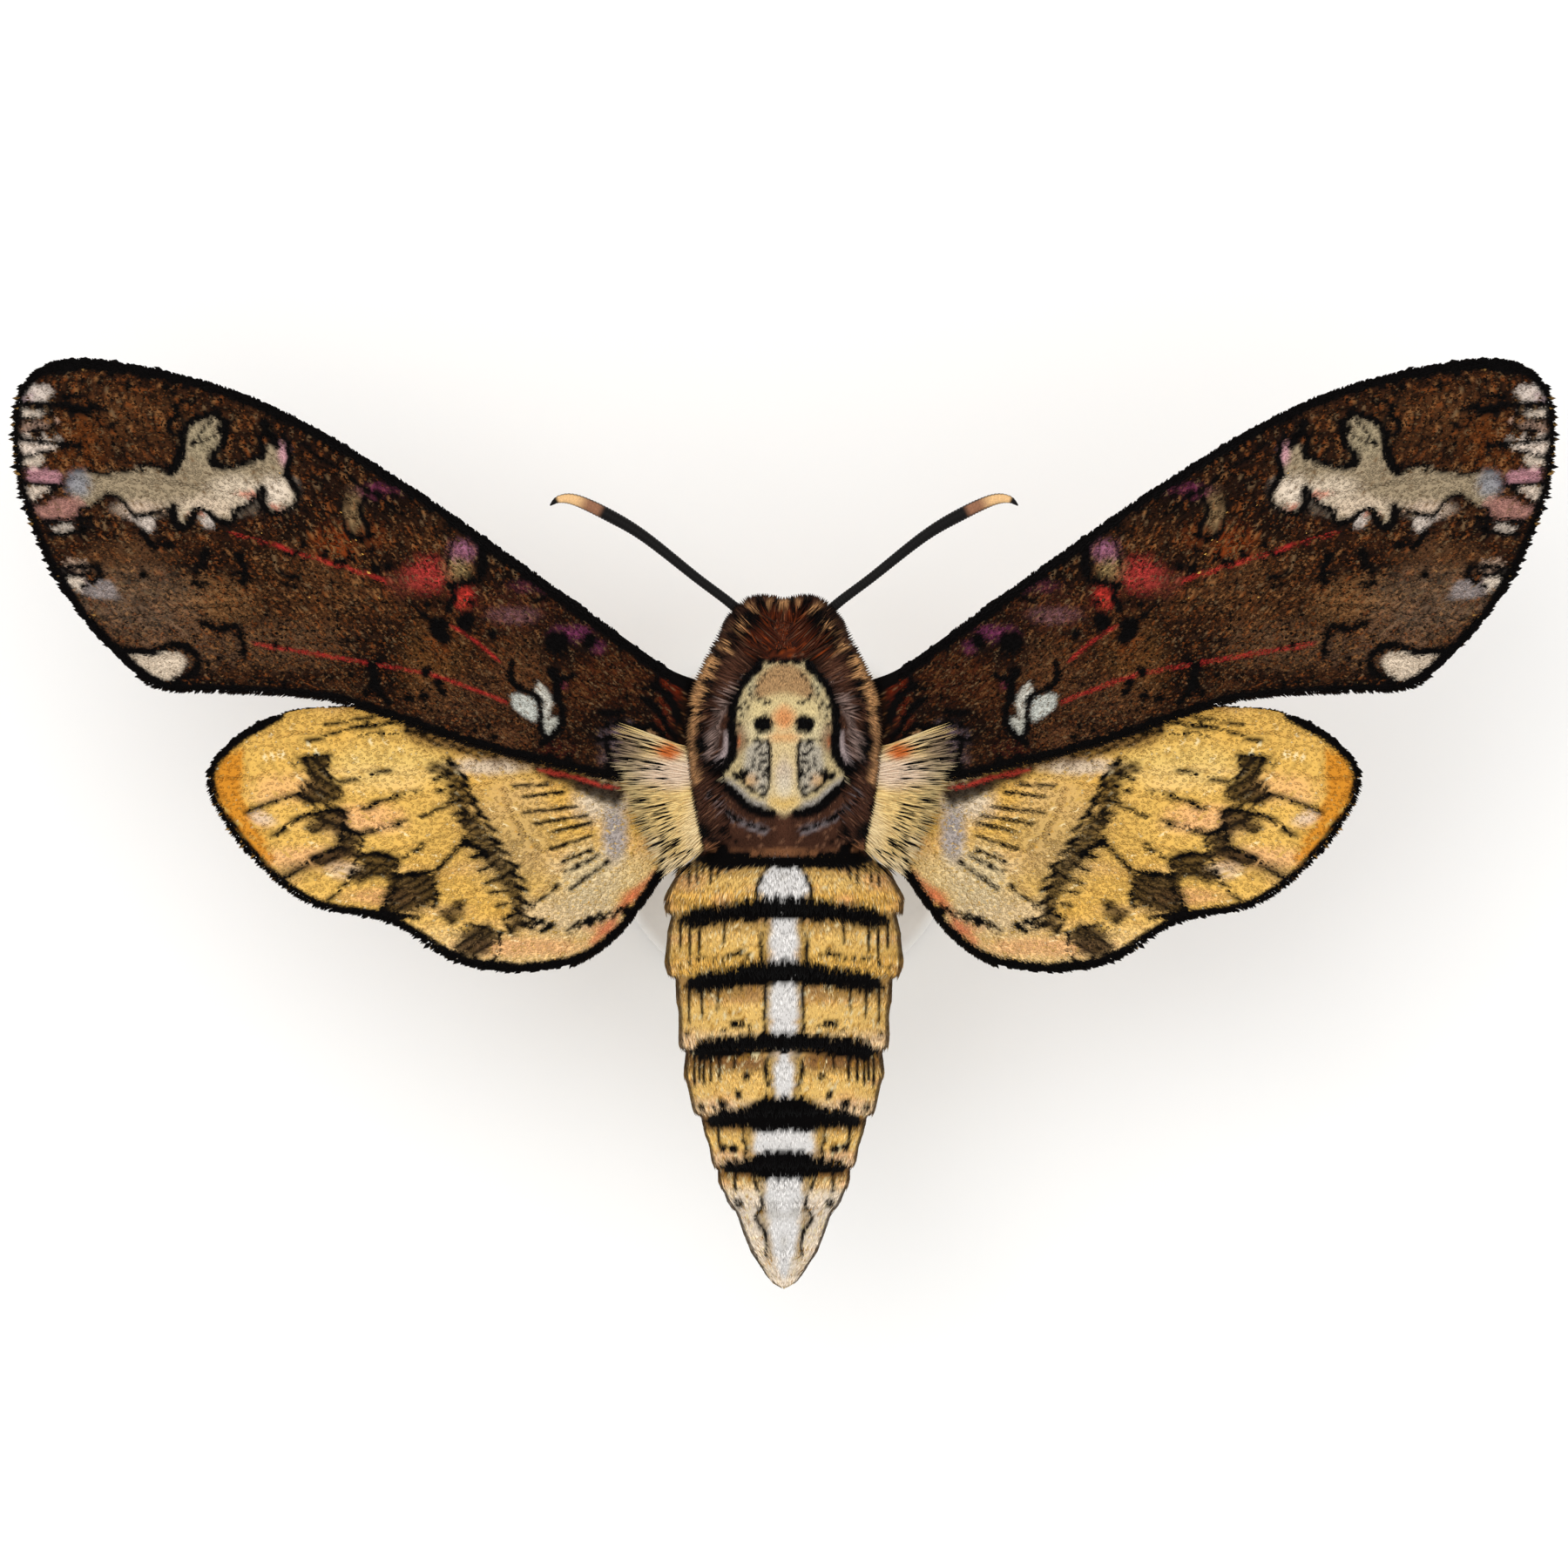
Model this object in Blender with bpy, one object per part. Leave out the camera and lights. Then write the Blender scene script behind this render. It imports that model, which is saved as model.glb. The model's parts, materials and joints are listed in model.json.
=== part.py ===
"""Lesser death's head hawkmoth with its wings spread, life-size, on a small display stand.

The moth looks along +Y, its left side is at -X, and Z is up. The origin is on the floor, at the
middle of the stand's foot. Sizes are in millimetres and are turned to metres as each mesh is made.
"""
import math

import bmesh
import bpy
import numpy as np
from mathutils import Matrix, Vector
from mathutils.geometry import delaunay_2d_cdt

MM = 0.001
SIDES = (("left", -1), ("right", 1))

# Driving dimensions of the whole object
WINGSPAN = 110.0
AXIS_HEIGHT = 30.0
TOUCH_GAP = 0.3

# Thorax and head, each row (place along Y, half width, height above axis, depth below axis)
THORAX_SECTIONS = ((12.2, 5.75, 4.9, 4.6), (10.6, 6.4, 5.7, 5.3), (7.4, 6.87, 6.3, 5.9),
                   (4.3, 7.0, 6.5, 6.1), (1.2, 6.75, 6.3, 6.0), (-0.8, 6.4, 5.9, 5.7),
                   (-2.1, 6.1, 5.3, 5.2))
HEAD_SECTIONS = ((12.5, 5.45, 4.7, 4.1), (13.4, 4.75, 4.5, 4.1), (14.6, 3.95, 3.9, 3.8),
                 (15.4, 3.2, 2.9, 3.0), (15.9, 2.2, 1.9, 2.0), (16.15, 1.0, 0.9, 0.9))

# Abdomen, each row (place along Y, half width), then where one segment ends and the next begins
ABDOMEN_OUTLINE = ((-2.4, 7.7), (-4.6, 8.75), (-9.4, 8.85), (-13.4, 7.95), (-17.6, 7.6),
                   (-20.4, 6.75), (-23.0, 5.7), (-25.4, 5.1), (-28.0, 3.8), (-30.4, 2.75),
                   (-32.3, 1.45), (-33.3, 0.35))
SEGMENT_JOINS = (-2.25, -6.0, -10.7, -16.0, -20.7, -24.4, -27.3, -33.45)
ABDOMEN_TOP_SHARE = 0.74
ABDOMEN_BOTTOM_SHARE = 0.68
SEGMENT_PROFILE = ((0.0, 0.975), (0.3, 1.0), (0.6, 1.015), (0.86, 1.03), (1.0, 0.985))

# Eyes, palps and tongue, measured from the body's axis
EYE_CENTRE = (2.7, 14.1, -0.6)
EYE_RADII = (1.8, 1.58, 2.3)
PALP_CENTRE = (1.62, 14.55, -1.9)
PALP_RADII = (1.5, 1.95, 2.5)
TONGUE_CENTRE = (0.0, 13.4, -5.6)
TONGUE_COIL_RADIUS = 1.8
TONGUE_TUBE_RADIUS = 0.4
TONGUE_TURNS = 1.12
TONGUE_TIGHTENING = 0.62
TONGUE_TAPER = 0.45

# Antenna, each row (place out from the middle, along Y, above axis, radius)
ANTENNA_PATH = ((1.2, 13.7, 3.2, 0.36), (3.4, 15.6, 4.3, 0.37), (6.25, 17.8, 4.9, 0.36),
                (10.0, 20.75, 5.2, 0.40), (12.6, 22.3, 5.2, 0.46), (14.9, 23.35, 5.1, 0.42),
                (16.1, 23.4, 5.0, 0.30), (16.75, 22.95, 4.9, 0.16))

# Wing outlines, each point (place out from the middle, along Y)
FOREWING_OUTLINE = ((5.0, 9.4), (8.7, 11.6), (16.2, 17.0), (26.1, 24.0), (33.6, 28.6),
                    (38.6, 30.95), (43.5, 32.4), (49.0, 33.35), (52.2, 33.05), (54.2, 31.7),
                    (WINGSPAN / 2.0, 28.8), (54.5, 24.0), (52.4, 18.6), (49.4, 14.2), (46.0, 10.9),
                    (44.0, 9.85), (41.0, 9.7), (34.8, 9.4), (30.7, 8.7), (22.6, 6.0),
                    (15.4, 4.2), (10.0, 3.1), (5.0, 2.4))
HINDWING_OUTLINE = ((5.0, 5.2), (14.0, 7.2), (25.0, 8.5), (33.0, 8.6), (36.2, 8.0), (38.8, 6.6),
                    (40.85, 4.6), (41.15, 2.9), (40.3, 0.9), (38.3, -1.9), (35.6, -4.4),
                    (33.0, -5.8), (29.5, -6.4), (27.2, -7.2), (24.6, -8.95), (22.4, -9.85),
                    (19.0, -10.25), (15.0, -9.65), (12.2, -7.9), (10.1, -5.3), (8.8, -3.4),
                    (7.0, -1.7), (5.0, -0.9))
WING_THICKNESS = 0.5
WING_ROOT_RISE = 2.6
WING_GAP = 1.4
WING_HINGE = 6.5
WING_SLOPE = 0.16
WING_DROOP = 0.0013
WING_WASHOUT = 0.02
COSTA_START = 7.3
COSTA_SLOPE = 0.53
OUTLINE_STEP = 2.2
MEMBRANE_STEP = 3.2
MEMBRANE_CLEARANCE = 1.3
MERGE_DISTANCE = 0.06

# Veins as ridges, each from the wing's root or a fork out towards the margin
VEIN_HEIGHT = 0.17
VEIN_HALF_WIDTH = 0.34
VEIN_STEP = 4.0
FOREWING_VEINS = (
    ((7.0, 10.1), (20.0, 18.9), (32.6, 27.2)),
    ((7.0, 9.0), (18.0, 15.6), (30.6, 22.9)),
    ((21.5, 17.75), (32.5, 25.4), (41.2, 30.9)),
    ((30.6, 22.9), (41.0, 28.7), (49.4, 32.4)),
    ((30.6, 22.9), (42.5, 27.4), (53.6, 30.6)),
    ((30.4, 22.0), (42.5, 24.4), (54.0, 25.0)),
    ((29.9, 19.9), (42.0, 21.1), (53.0, 21.0)),
    ((28.7, 17.2), (41.0, 18.0), (51.4, 17.8)),
    ((27.4, 16.0), (38.5, 15.9), (49.0, 14.8)),
    ((20.4, 12.6), (33.0, 13.2), (46.1, 11.9)),
    ((7.0, 6.4), (18.0, 11.3), (27.4, 16.0), (29.9, 19.9), (30.6, 22.9)),
    ((7.0, 4.6), (22.0, 8.6), (40.6, 10.4)),
)
HINDWING_VEINS = (
    ((7.4, 4.6), (24.0, 7.2), (37.6, 6.5)),
    ((7.4, 3.6), (20.2, 3.4), (31.0, 4.0), (40.2, 3.4)),
    ((20.2, 3.4), (30.0, 1.4), (38.6, -0.6)),
    ((19.4, 1.0), (28.0, -1.6), (35.2, -4.1)),
    ((18.2, -0.8), (25.0, -3.6), (30.6, -5.9)),
    ((17.2, -1.6), (22.4, -4.9), (26.2, -7.4)),
    ((13.4, 0.4), (17.6, -5.0), (21.4, -9.4)),
    ((7.4, 2.6), (13.4, 0.4), (17.2, -1.6), (19.4, 1.0), (20.2, 3.4)),
    ((7.6, 1.4), (12.6, -4.0), (16.0, -9.1)),
)

# Hair fan over the wing roots, in two tiers of locks, each row
# (locks, lift over the wing, length, root along Y of the first and the last lock)
FAN_TIERS = ((8, 0.75, 7.0, 4.9, -0.4), (6, 1.2, 4.6, 4.4, 0.0))
FAN_ROOT_OUT = 5.4
FAN_FIRST_ANGLE = 14.0
FAN_LAST_ANGLE = -42.0
FAN_LAST_LENGTH_SHARE = 0.68
SECOND_LOCK_SHARE = 0.92
LOCK_WIDTH = 1.9
LOCK_THICKNESS = 0.55
LOCK_TAPER = ((0.0, 0.8), (0.45, 1.0), (0.8, 0.7), (1.0, 0.2))
LOCK_SECTION = ((-1.0, 0.0), (-0.5, 1.0), (0.5, 1.0), (1.0, 0.0), (0.5, -1.0), (-0.5, -1.0))

# Legs, each row (out from the middle, along Y, from the axis, radius)
LEG_PATHS = {
    "front": ((2.0, 9.8, -3.6, 1.15), (3.0, 9.5, -5.6, 1.0), (4.5, 8.6, -6.9, 0.7),
              (4.2, 10.4, -7.6, 0.62), (3.3, 12.4, -8.2, 0.45), (2.6, 13.6, -8.5, 0.32),
              (2.0, 14.7, -8.7, 0.27)),
    "mid": ((2.2, 6.4, -4.4, 1.2), (3.7, 5.6, -6.6, 1.0), (5.3, 4.2, -7.3, 0.75),
            (5.7, 1.4, -7.7, 0.62), (5.7, -1.6, -8.1, 0.42), (5.2, -4.4, -8.5, 0.32),
            (4.4, -7.2, -8.7, 0.27)),
    "hind": ((2.3, 2.9, -4.4, 1.2), (3.2, 1.5, -6.4, 1.0), (4.0, -0.8, -7.3, 0.75),
             (3.9, -3.6, -7.8, 0.62), (3.4, -7.0, -8.1, 0.42), (2.8, -10.6, -8.4, 0.32),
             (2.1, -14.4, -8.5, 0.27)),
}

# Spurs and claws, each row (out, along Y, from the axis, reach out, reach along Y, reach up)
LEG_THORNS = {
    "front": ((2.0, 14.5, -8.7, 0.5, 0.8, -0.2), (2.0, 14.5, -8.7, -0.5, 0.8, -0.2)),
    "mid": ((5.68, -1.5, -8.1, 0.9, -1.4, -0.3), (5.68, -1.5, -8.1, -0.8, -1.5, -0.3),
            (4.4, -7.0, -8.7, 0.5, -0.9, -0.2), (4.4, -7.0, -8.7, -0.6, -0.8, -0.2)),
    "hind": ((3.42, -6.8, -8.1, 0.8, -1.5, -0.3), (3.42, -6.8, -8.1, -0.8, -1.5, -0.3),
             (2.1, -14.2, -8.5, 0.5, -0.9, -0.2), (2.1, -14.2, -8.5, -0.5, -0.9, -0.2)),
}
THORN_RADIUS = 0.24
THORN_TAPER = ((-0.05, 1.0), (0.5, 0.75), (1.0, 0.25))

# Stand, the rod's top and its cup measured down from the body's axis
BASE_RADIUS = 13.0
BASE_HEIGHT = 5.0
BASE_BEVEL = 0.9
ROD_RADIUS = 1.5
ROD_FOOT_RADIUS = 3.2
ROD_FOOT_HEIGHT = 1.6
ROD_FOOT_BEVEL = 0.5
ROD_FOOT_NECK = 0.3
ROD_TOP_RADIUS = 2.1
ROD_TOP_DEPTH = 4.0
ROD_CUP_DEPTH = 7.2
ROD_CUP_NECK = 1.0

# Roundness
BODY_SIDES = 26
THORAX_RINGS = 12
HEAD_RINGS = 9
EYE_FACETS = (16, 10)
PALP_FACETS = (14, 9)
TONGUE_POINTS = 16
TUBE_SIDES = 8
THORN_SIDES = 5
ANTENNA_STEP = 1.2
TONGUE_STEP = 1.0
LEG_STEP = 1.3
THORN_STEP = 1.0
STAND_SIDES = 40
SHARP_ANGLE = math.radians(35.0)


def remove_all_objects():
    for item in list(bpy.data.objects):
        bpy.data.objects.remove(item, do_unlink=True)


def material(name, red, green, blue, roughness, metallic=0.0):
    """A Principled material of one linear colour."""
    made = bpy.data.materials.new(name)
    made.use_nodes = True
    shader = made.node_tree.nodes["Principled BSDF"]
    shader.inputs["Base Color"].default_value = (red, green, blue, 1.0)
    shader.inputs["Roughness"].default_value = roughness
    shader.inputs["Metallic"].default_value = metallic
    return made


def mesh_object(name, points, faces, finish):
    """A named object from points in millimetres, its faces turned outwards."""
    mesh = bpy.data.meshes.new(name)
    mesh.from_pydata([Vector(point) * MM for point in points], [], faces)
    shell = bmesh.new()
    shell.from_mesh(mesh)
    bmesh.ops.recalc_face_normals(shell, faces=shell.faces)
    shell.to_mesh(mesh)
    shell.free()
    mesh.materials.append(finish)
    mesh.shade_smooth()
    mesh.set_sharp_from_angle(angle=SHARP_ANGLE)
    made = bpy.data.objects.new(name, mesh)
    bpy.context.scene.collection.objects.link(made)
    return made


def smooth_curve(controls, step, closed=False):
    """Points about one step apart on a curve that passes through the controls."""
    controls = [np.array(control, dtype=float) for control in controls]
    count = len(controls)
    points = []
    for index in range(count if closed else count - 1):
        if closed:
            before, start, end, after = (controls[(index + shift) % count] for shift in (-1, 0, 1, 2))
        else:
            start, end = controls[index], controls[index + 1]
            before = controls[index - 1] if index > 0 else 2.0 * start - end
            after = controls[index + 2] if index + 2 < count else 2.0 * end - start
        pieces = max(1, round(float(np.linalg.norm((end - start)[:2])) / step))
        for piece in range(pieces):
            t = piece / pieces
            points.append(0.5 * (2.0 * start + (end - before) * t
                                 + (2.0 * before - 5.0 * start + 4.0 * end - after) * t * t
                                 + (3.0 * start - before - 3.0 * end + after) * t ** 3))
    if not closed:
        points.append(controls[-1])
    return points


def interpolate(rows, place):
    """The other columns of the rows, at a place along their first column."""
    rows = sorted(rows)
    first = [row[0] for row in rows]
    return [float(np.interp(place, first, [row[column] for row in rows]))
            for column in range(1, len(rows[0]))]


def loft(name, rings, finish):
    """A closed skin over rings of equally many points, with a flat cap at each end."""
    around = len(rings[0])
    points = [point for ring in rings for point in ring]
    faces = []
    for ring in range(len(rings) - 1):
        for index in range(around):
            following = (index + 1) % around
            faces.append((ring * around + index, ring * around + following,
                          (ring + 1) * around + following, (ring + 1) * around + index))
    faces.append(tuple(reversed(range(around))))
    last = (len(rings) - 1) * around
    faces.append(tuple(range(last, last + around)))
    return mesh_object(name, points, faces, finish)


def body_ring(place, half_width, top, bottom):
    """One cross-section of the body: an oval with its own height above and below the axis."""
    ring = []
    for index in range(BODY_SIDES):
        angle = 2.0 * math.pi * index / BODY_SIDES
        height = top if math.sin(angle) > 0.0 else bottom
        ring.append((half_width * math.cos(angle), place, AXIS_HEIGHT + height * math.sin(angle)))
    return ring


def body_loft(name, sections, rings, finish):
    """A length of the body between its first and last section, with evenly spaced rings."""
    places = np.linspace(sections[0][0], sections[-1][0], rings)
    return loft(name, [body_ring(place, *interpolate(sections, place)) for place in places], finish)


def ellipsoid(name, centre, radii, facets, finish):
    """A closed ellipsoid, its centre measured from the body's axis."""
    ball = bmesh.new()
    bmesh.ops.create_uvsphere(ball, u_segments=facets[0], v_segments=facets[1], radius=1.0)
    place = Matrix.Translation((centre[0], centre[1], AXIS_HEIGHT + centre[2]))
    ball.transform(place @ Matrix.Diagonal((*radii, 1.0)))
    points = [vertex.co.copy() for vertex in ball.verts]
    faces = [tuple(vertex.index for vertex in face.verts) for face in ball.faces]
    ball.free()
    return mesh_object(name, points, faces, finish)


def tube(name, path, finish, step, sides=TUBE_SIDES):
    """A round tube along a curve through rows of (x, y, z above axis, radius)."""
    rows = smooth_curve(path, step)
    centres = [Vector((row[0], row[1], AXIS_HEIGHT + row[2])) for row in rows]
    side = None
    rings = []
    for index, centre in enumerate(centres):
        ahead = centres[min(index + 1, len(centres) - 1)] - centres[max(index - 1, 0)]
        ahead.normalize()
        if side is None:
            side = ahead.cross(Vector((0.0, 0.0, 1.0)))
        side = (side - ahead * side.dot(ahead)).normalized()
        up = side.cross(ahead)
        ring = []
        for corner in range(sides):
            angle = 2.0 * math.pi * corner / sides
            ring.append(centre + (side * math.cos(angle) + up * math.sin(angle)) * rows[index][3])
        rings.append(ring)
    return loft(name, rings, finish)


def keep_largest(item):
    """Leave only the largest closed surface of an object."""
    shell = bmesh.new()
    shell.from_mesh(item.data)
    unseen = set(shell.faces)
    groups = []
    while unseen:
        waiting = [unseen.pop()]
        group = []
        while waiting:
            face = waiting.pop()
            group.append(face)
            for edge in face.edges:
                for neighbour in edge.link_faces:
                    if neighbour in unseen:
                        unseen.remove(neighbour)
                        waiting.append(neighbour)
        groups.append(group)
    groups.sort(key=lambda group: sum(face.calc_area() for face in group))
    scraps = [face for group in groups[:-1] for face in group]
    bmesh.ops.delete(shell, geom=scraps, context="FACES")
    shell.to_mesh(item.data)
    shell.free()


def grown(item, distance):
    """A copy of an object, swollen by a distance, to cut its neighbours clear of it."""
    shell = bmesh.new()
    shell.from_mesh(item.data)
    shell.normal_update()
    moves = [vertex.normal * distance * MM for vertex in shell.verts]
    for vertex, move in zip(shell.verts, moves):
        vertex.co += move
    mesh = bpy.data.meshes.new(item.name + "_grown")
    shell.to_mesh(mesh)
    shell.free()
    made = bpy.data.objects.new(mesh.name, mesh)
    bpy.context.scene.collection.objects.link(made)
    return made


def apply_modifiers(item):
    bpy.context.view_layer.update()
    seen = item.evaluated_get(bpy.context.evaluated_depsgraph_get())
    mesh = bpy.data.meshes.new_from_object(seen)
    item.modifiers.clear()
    item.data = mesh


def cut_clear(item, *neighbours):
    """Cut an object back from its neighbours, which leaves the touching gap between them."""
    for neighbour in neighbours:
        cutter = grown(neighbour, TOUCH_GAP)
        boolean = item.modifiers.new("clear", "BOOLEAN")
        boolean.operation = "DIFFERENCE"
        boolean.solver = "EXACT"
        boolean.object = cutter
        apply_modifiers(item)
        bpy.data.objects.remove(cutter, do_unlink=True)
    keep_largest(item)


def join_all(item, pieces):
    """Fuse pieces into an object with one Boolean union on a collection of them."""
    group = bpy.data.collections.new(item.name + "_pieces")
    bpy.context.scene.collection.children.link(group)
    for piece in pieces:
        bpy.context.scene.collection.objects.unlink(piece)
        group.objects.link(piece)
    boolean = item.modifiers.new("join", "BOOLEAN")
    boolean.operation = "UNION"
    boolean.solver = "EXACT"
    boolean.operand_type = "COLLECTION"
    boolean.collection = group
    apply_modifiers(item)
    for piece in pieces:
        bpy.data.objects.remove(piece, do_unlink=True)
    bpy.data.collections.remove(group)
    keep_largest(item)


def make_body(finishes):
    """Head, thorax and the seven rings of the abdomen."""
    thorax = body_loft("thorax", THORAX_SECTIONS, THORAX_RINGS, finishes["thorax"])
    head = body_loft("head", HEAD_SECTIONS, HEAD_RINGS, finishes["thorax"])
    segments = []
    for number in range(len(SEGMENT_JOINS) - 1):
        front = SEGMENT_JOINS[number] - TOUCH_GAP / 2.0
        rear = SEGMENT_JOINS[number + 1] + TOUCH_GAP / 2.0
        rings = []
        for share, swell in SEGMENT_PROFILE:
            place = front + (rear - front) * share
            half_width = interpolate(ABDOMEN_OUTLINE, place)[0] * swell
            rings.append(body_ring(place, half_width, half_width * ABDOMEN_TOP_SHARE,
                                   half_width * ABDOMEN_BOTTOM_SHARE))
        segments.append(loft(f"abdomen_{number + 1}", rings, finishes["abdomen"]))
    return head, thorax, segments


def make_face(head, thorax, finishes):
    """Eyes in their sockets, palps, the coiled tongue and the antennae."""
    palps = []
    eyes = []
    for side, sign in SIDES:
        eye = ellipsoid(f"eye_{side}", (sign * EYE_CENTRE[0], *EYE_CENTRE[1:]), EYE_RADII,
                        EYE_FACETS, finishes["eye"])
        palp = ellipsoid(f"palp_{side}", (sign * PALP_CENTRE[0], *PALP_CENTRE[1:]), PALP_RADII,
                         PALP_FACETS, finishes["thorax"])
        cut_clear(palp, head)
        antenna = tube(f"antenna_{side}", [(sign * row[0], *row[1:]) for row in ANTENNA_PATH],
                       finishes["antenna"], ANTENNA_STEP)
        cut_clear(antenna, head)
        palps.append(palp)
        eyes.append(eye)
    coil = []
    for turn in np.linspace(0.0, TONGUE_TURNS, TONGUE_POINTS):
        angle = 2.0 * math.pi * turn
        reach = TONGUE_COIL_RADIUS * (1.0 - TONGUE_TIGHTENING * turn / TONGUE_TURNS)
        coil.append((TONGUE_CENTRE[0], TONGUE_CENTRE[1] - reach * math.sin(angle),
                     TONGUE_CENTRE[2] + reach * math.cos(angle),
                     TONGUE_TUBE_RADIUS * (1.0 - TONGUE_TAPER * turn / TONGUE_TURNS)))
    tongue = tube("tongue", coil, finishes["antenna"], TONGUE_STEP)
    cut_clear(tongue, head, thorax, *palps)
    for palp, eye in zip(palps, eyes):
        cut_clear(palp, eye)
        cut_clear(head, eye)


def wing_height(out, along):
    """Height of the forewing's middle surface over the floor."""
    reach = out - WING_HINGE
    behind = COSTA_START + COSTA_SLOPE * out - along
    return (AXIS_HEIGHT + WING_ROOT_RISE + WING_SLOPE * reach - WING_DROOP * reach * reach
            - WING_WASHOUT * behind)


def inside(outline, point):
    """Whether a point lies inside a closed outline."""
    crossings = 0
    for start, end in zip(outline, outline[1:] + outline[:1]):
        if (start[1] > point[1]) != (end[1] > point[1]):
            share = (point[1] - start[1]) / (end[1] - start[1])
            if point[0] < start[0] + share * (end[0] - start[0]):
                crossings += 1
    return crossings % 2 == 1


def distance_to(lines, point):
    """Distance from a point to the nearest of some polylines."""
    nearest = math.inf
    for line in lines:
        for start, end in zip(line, line[1:]):
            run = end - start
            share = float(np.clip(np.dot(point - start, run) / np.dot(run, run), 0.0, 1.0))
            nearest = min(nearest, float(np.linalg.norm(point - start - run * share)))
    return nearest


def offset_line(line, distance):
    """A polyline beside another one, at a distance to its left."""
    moved = []
    for index, point in enumerate(line):
        run = line[min(index + 1, len(line) - 1)] - line[max(index - 1, 0)]
        run = run / np.linalg.norm(run)
        moved.append(point + distance * np.array((-run[1], run[0])))
    return moved


def membrane_points(outline, lines):
    """Points in staggered rows over the membrane, clear of its margin and its veins."""
    low = np.min(outline, axis=0)
    high = np.max(outline, axis=0)
    rows = int((high[1] - low[1]) / MEMBRANE_STEP)
    columns = int((high[0] - low[0]) / MEMBRANE_STEP)
    border = outline + outline[:1]
    points = []
    for row in range(rows + 1):
        for column in range(columns + 1):
            point = low + MEMBRANE_STEP * np.array((column + 0.5 * (row % 2), row + 0.4))
            clear = distance_to([border] + lines, point) > MEMBRANE_CLEARANCE
            if clear and inside(outline, point):
                points.append(point)
    return points


def wing(name, sign, controls, vein_controls, drop, finish):
    """A wing as a thin plate with its veins raised, its two faces split into triangles alike."""
    outline = smooth_curve(controls, OUTLINE_STEP, closed=True)
    veins = [smooth_curve(vein, VEIN_STEP) for vein in vein_controls]
    flat = [Vector(point) for point in outline]
    edges = [(index, (index + 1) % len(outline)) for index in range(len(outline))]
    for vein in veins:
        beside = [offset_line(vein, shift)[1:] for shift in (VEIN_HALF_WIDTH, -VEIN_HALF_WIDTH)]
        for line in [vein] + beside:
            first = len(flat)
            flat += [Vector(point) for point in line]
            edges += [(first + index, first + index + 1) for index in range(len(line) - 1)]
    flat += [Vector(point) for point in membrane_points(outline, veins)]
    found, _, triangles, *_ = delaunay_2d_cdt(flat, edges, [], 0, MERGE_DISTANCE)
    kept = []
    for triangle in triangles:
        middle = sum((found[corner] for corner in triangle), Vector((0.0, 0.0))) / 3.0
        if inside(outline, middle):
            kept.append(tuple(triangle))
    top = []
    bottom = []
    for point in found:
        beside_vein = distance_to(veins, np.array(point))
        ridge = VEIN_HEIGHT * max(0.0, 1.0 - beside_vein / VEIN_HALF_WIDTH)
        middle = wing_height(*point) - drop
        top.append((sign * point[0], point[1], middle + WING_THICKNESS / 2.0 + ridge))
        bottom.append((sign * point[0], point[1], middle - WING_THICKNESS / 2.0 - ridge))
    count = len(found)
    faces = list(kept)
    faces += [tuple(count + corner for corner in reversed(triangle)) for triangle in kept]
    used = {pair for triangle in kept for pair in zip(triangle, triangle[1:] + triangle[:1])}
    for start, end in sorted(used):
        if (end, start) not in used:
            faces.append((start, count + start, end))
            faces.append((end, count + start, count + end))
    return mesh_object(name, top + bottom, faces, finish)


def make_wings(thorax, first_segment, finishes):
    for side, sign in SIDES:
        forewing = wing(f"forewing_{side}", sign, FOREWING_OUTLINE, FOREWING_VEINS, 0.0,
                        finishes["forewing"])
        cut_clear(forewing, thorax)
        hindwing = wing(f"hindwing_{side}", sign, HINDWING_OUTLINE, HINDWING_VEINS, WING_GAP,
                        finishes["hindwing"])
        cut_clear(hindwing, thorax, first_segment)


def lock(name, start, end, lift, finish):
    """A flat, tapered lock of hair that leaves the thorax and lies over the wing's surface."""
    run = end - start
    across = np.array((-run[1], run[0])) / np.linalg.norm(run)
    rings = []
    for share, taper in LOCK_TAPER:
        middle = start + run * share
        width = LOCK_WIDTH * taper / 2.0
        depth = LOCK_THICKNESS * (1.0 + taper) / 4.0
        ring = []
        for side, up in LOCK_SECTION:
            place = middle + across * side * width
            out = max(abs(float(place[0])), WING_HINGE)
            height = wing_height(out, float(place[1])) + lift + up * depth
            ring.append((place[0], place[1], height))
        rings.append(ring)
    return loft(name, rings, finish)


def make_fans(thorax, finishes):
    """The pale hair fan that lies over the wing roots on each side."""
    locks = []
    for side, sign in SIDES:
        for count, lift, length, first, last in FAN_TIERS:
            for index in range(count):
                share = index / (count - 1)
                angle = math.radians(FAN_FIRST_ANGLE + (FAN_LAST_ANGLE - FAN_FIRST_ANGLE) * share)
                start = np.array((sign * FAN_ROOT_OUT, first + (last - first) * share))
                reach = length * (1.0 - (1.0 - FAN_LAST_LENGTH_SHARE) * share)
                if index % 2:
                    reach *= SECOND_LOCK_SHARE
                end = start + reach * np.array((sign * math.cos(angle), math.sin(angle)))
                locks.append(lock(f"lock_{side}_{lift}_{index}", start, end, lift,
                                  finishes["thorax"]))
    join_all(thorax, locks)


def thorn(name, start, reach, finish):
    """A short pointed spur or claw, its root sunk in the leg."""
    start = Vector(start)
    reach = Vector(reach)
    path = [(*(start + reach * share), THORN_RADIUS * taper) for share, taper in THORN_TAPER]
    return tube(name, path, finish, THORN_STEP, sides=THORN_SIDES)


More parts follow.
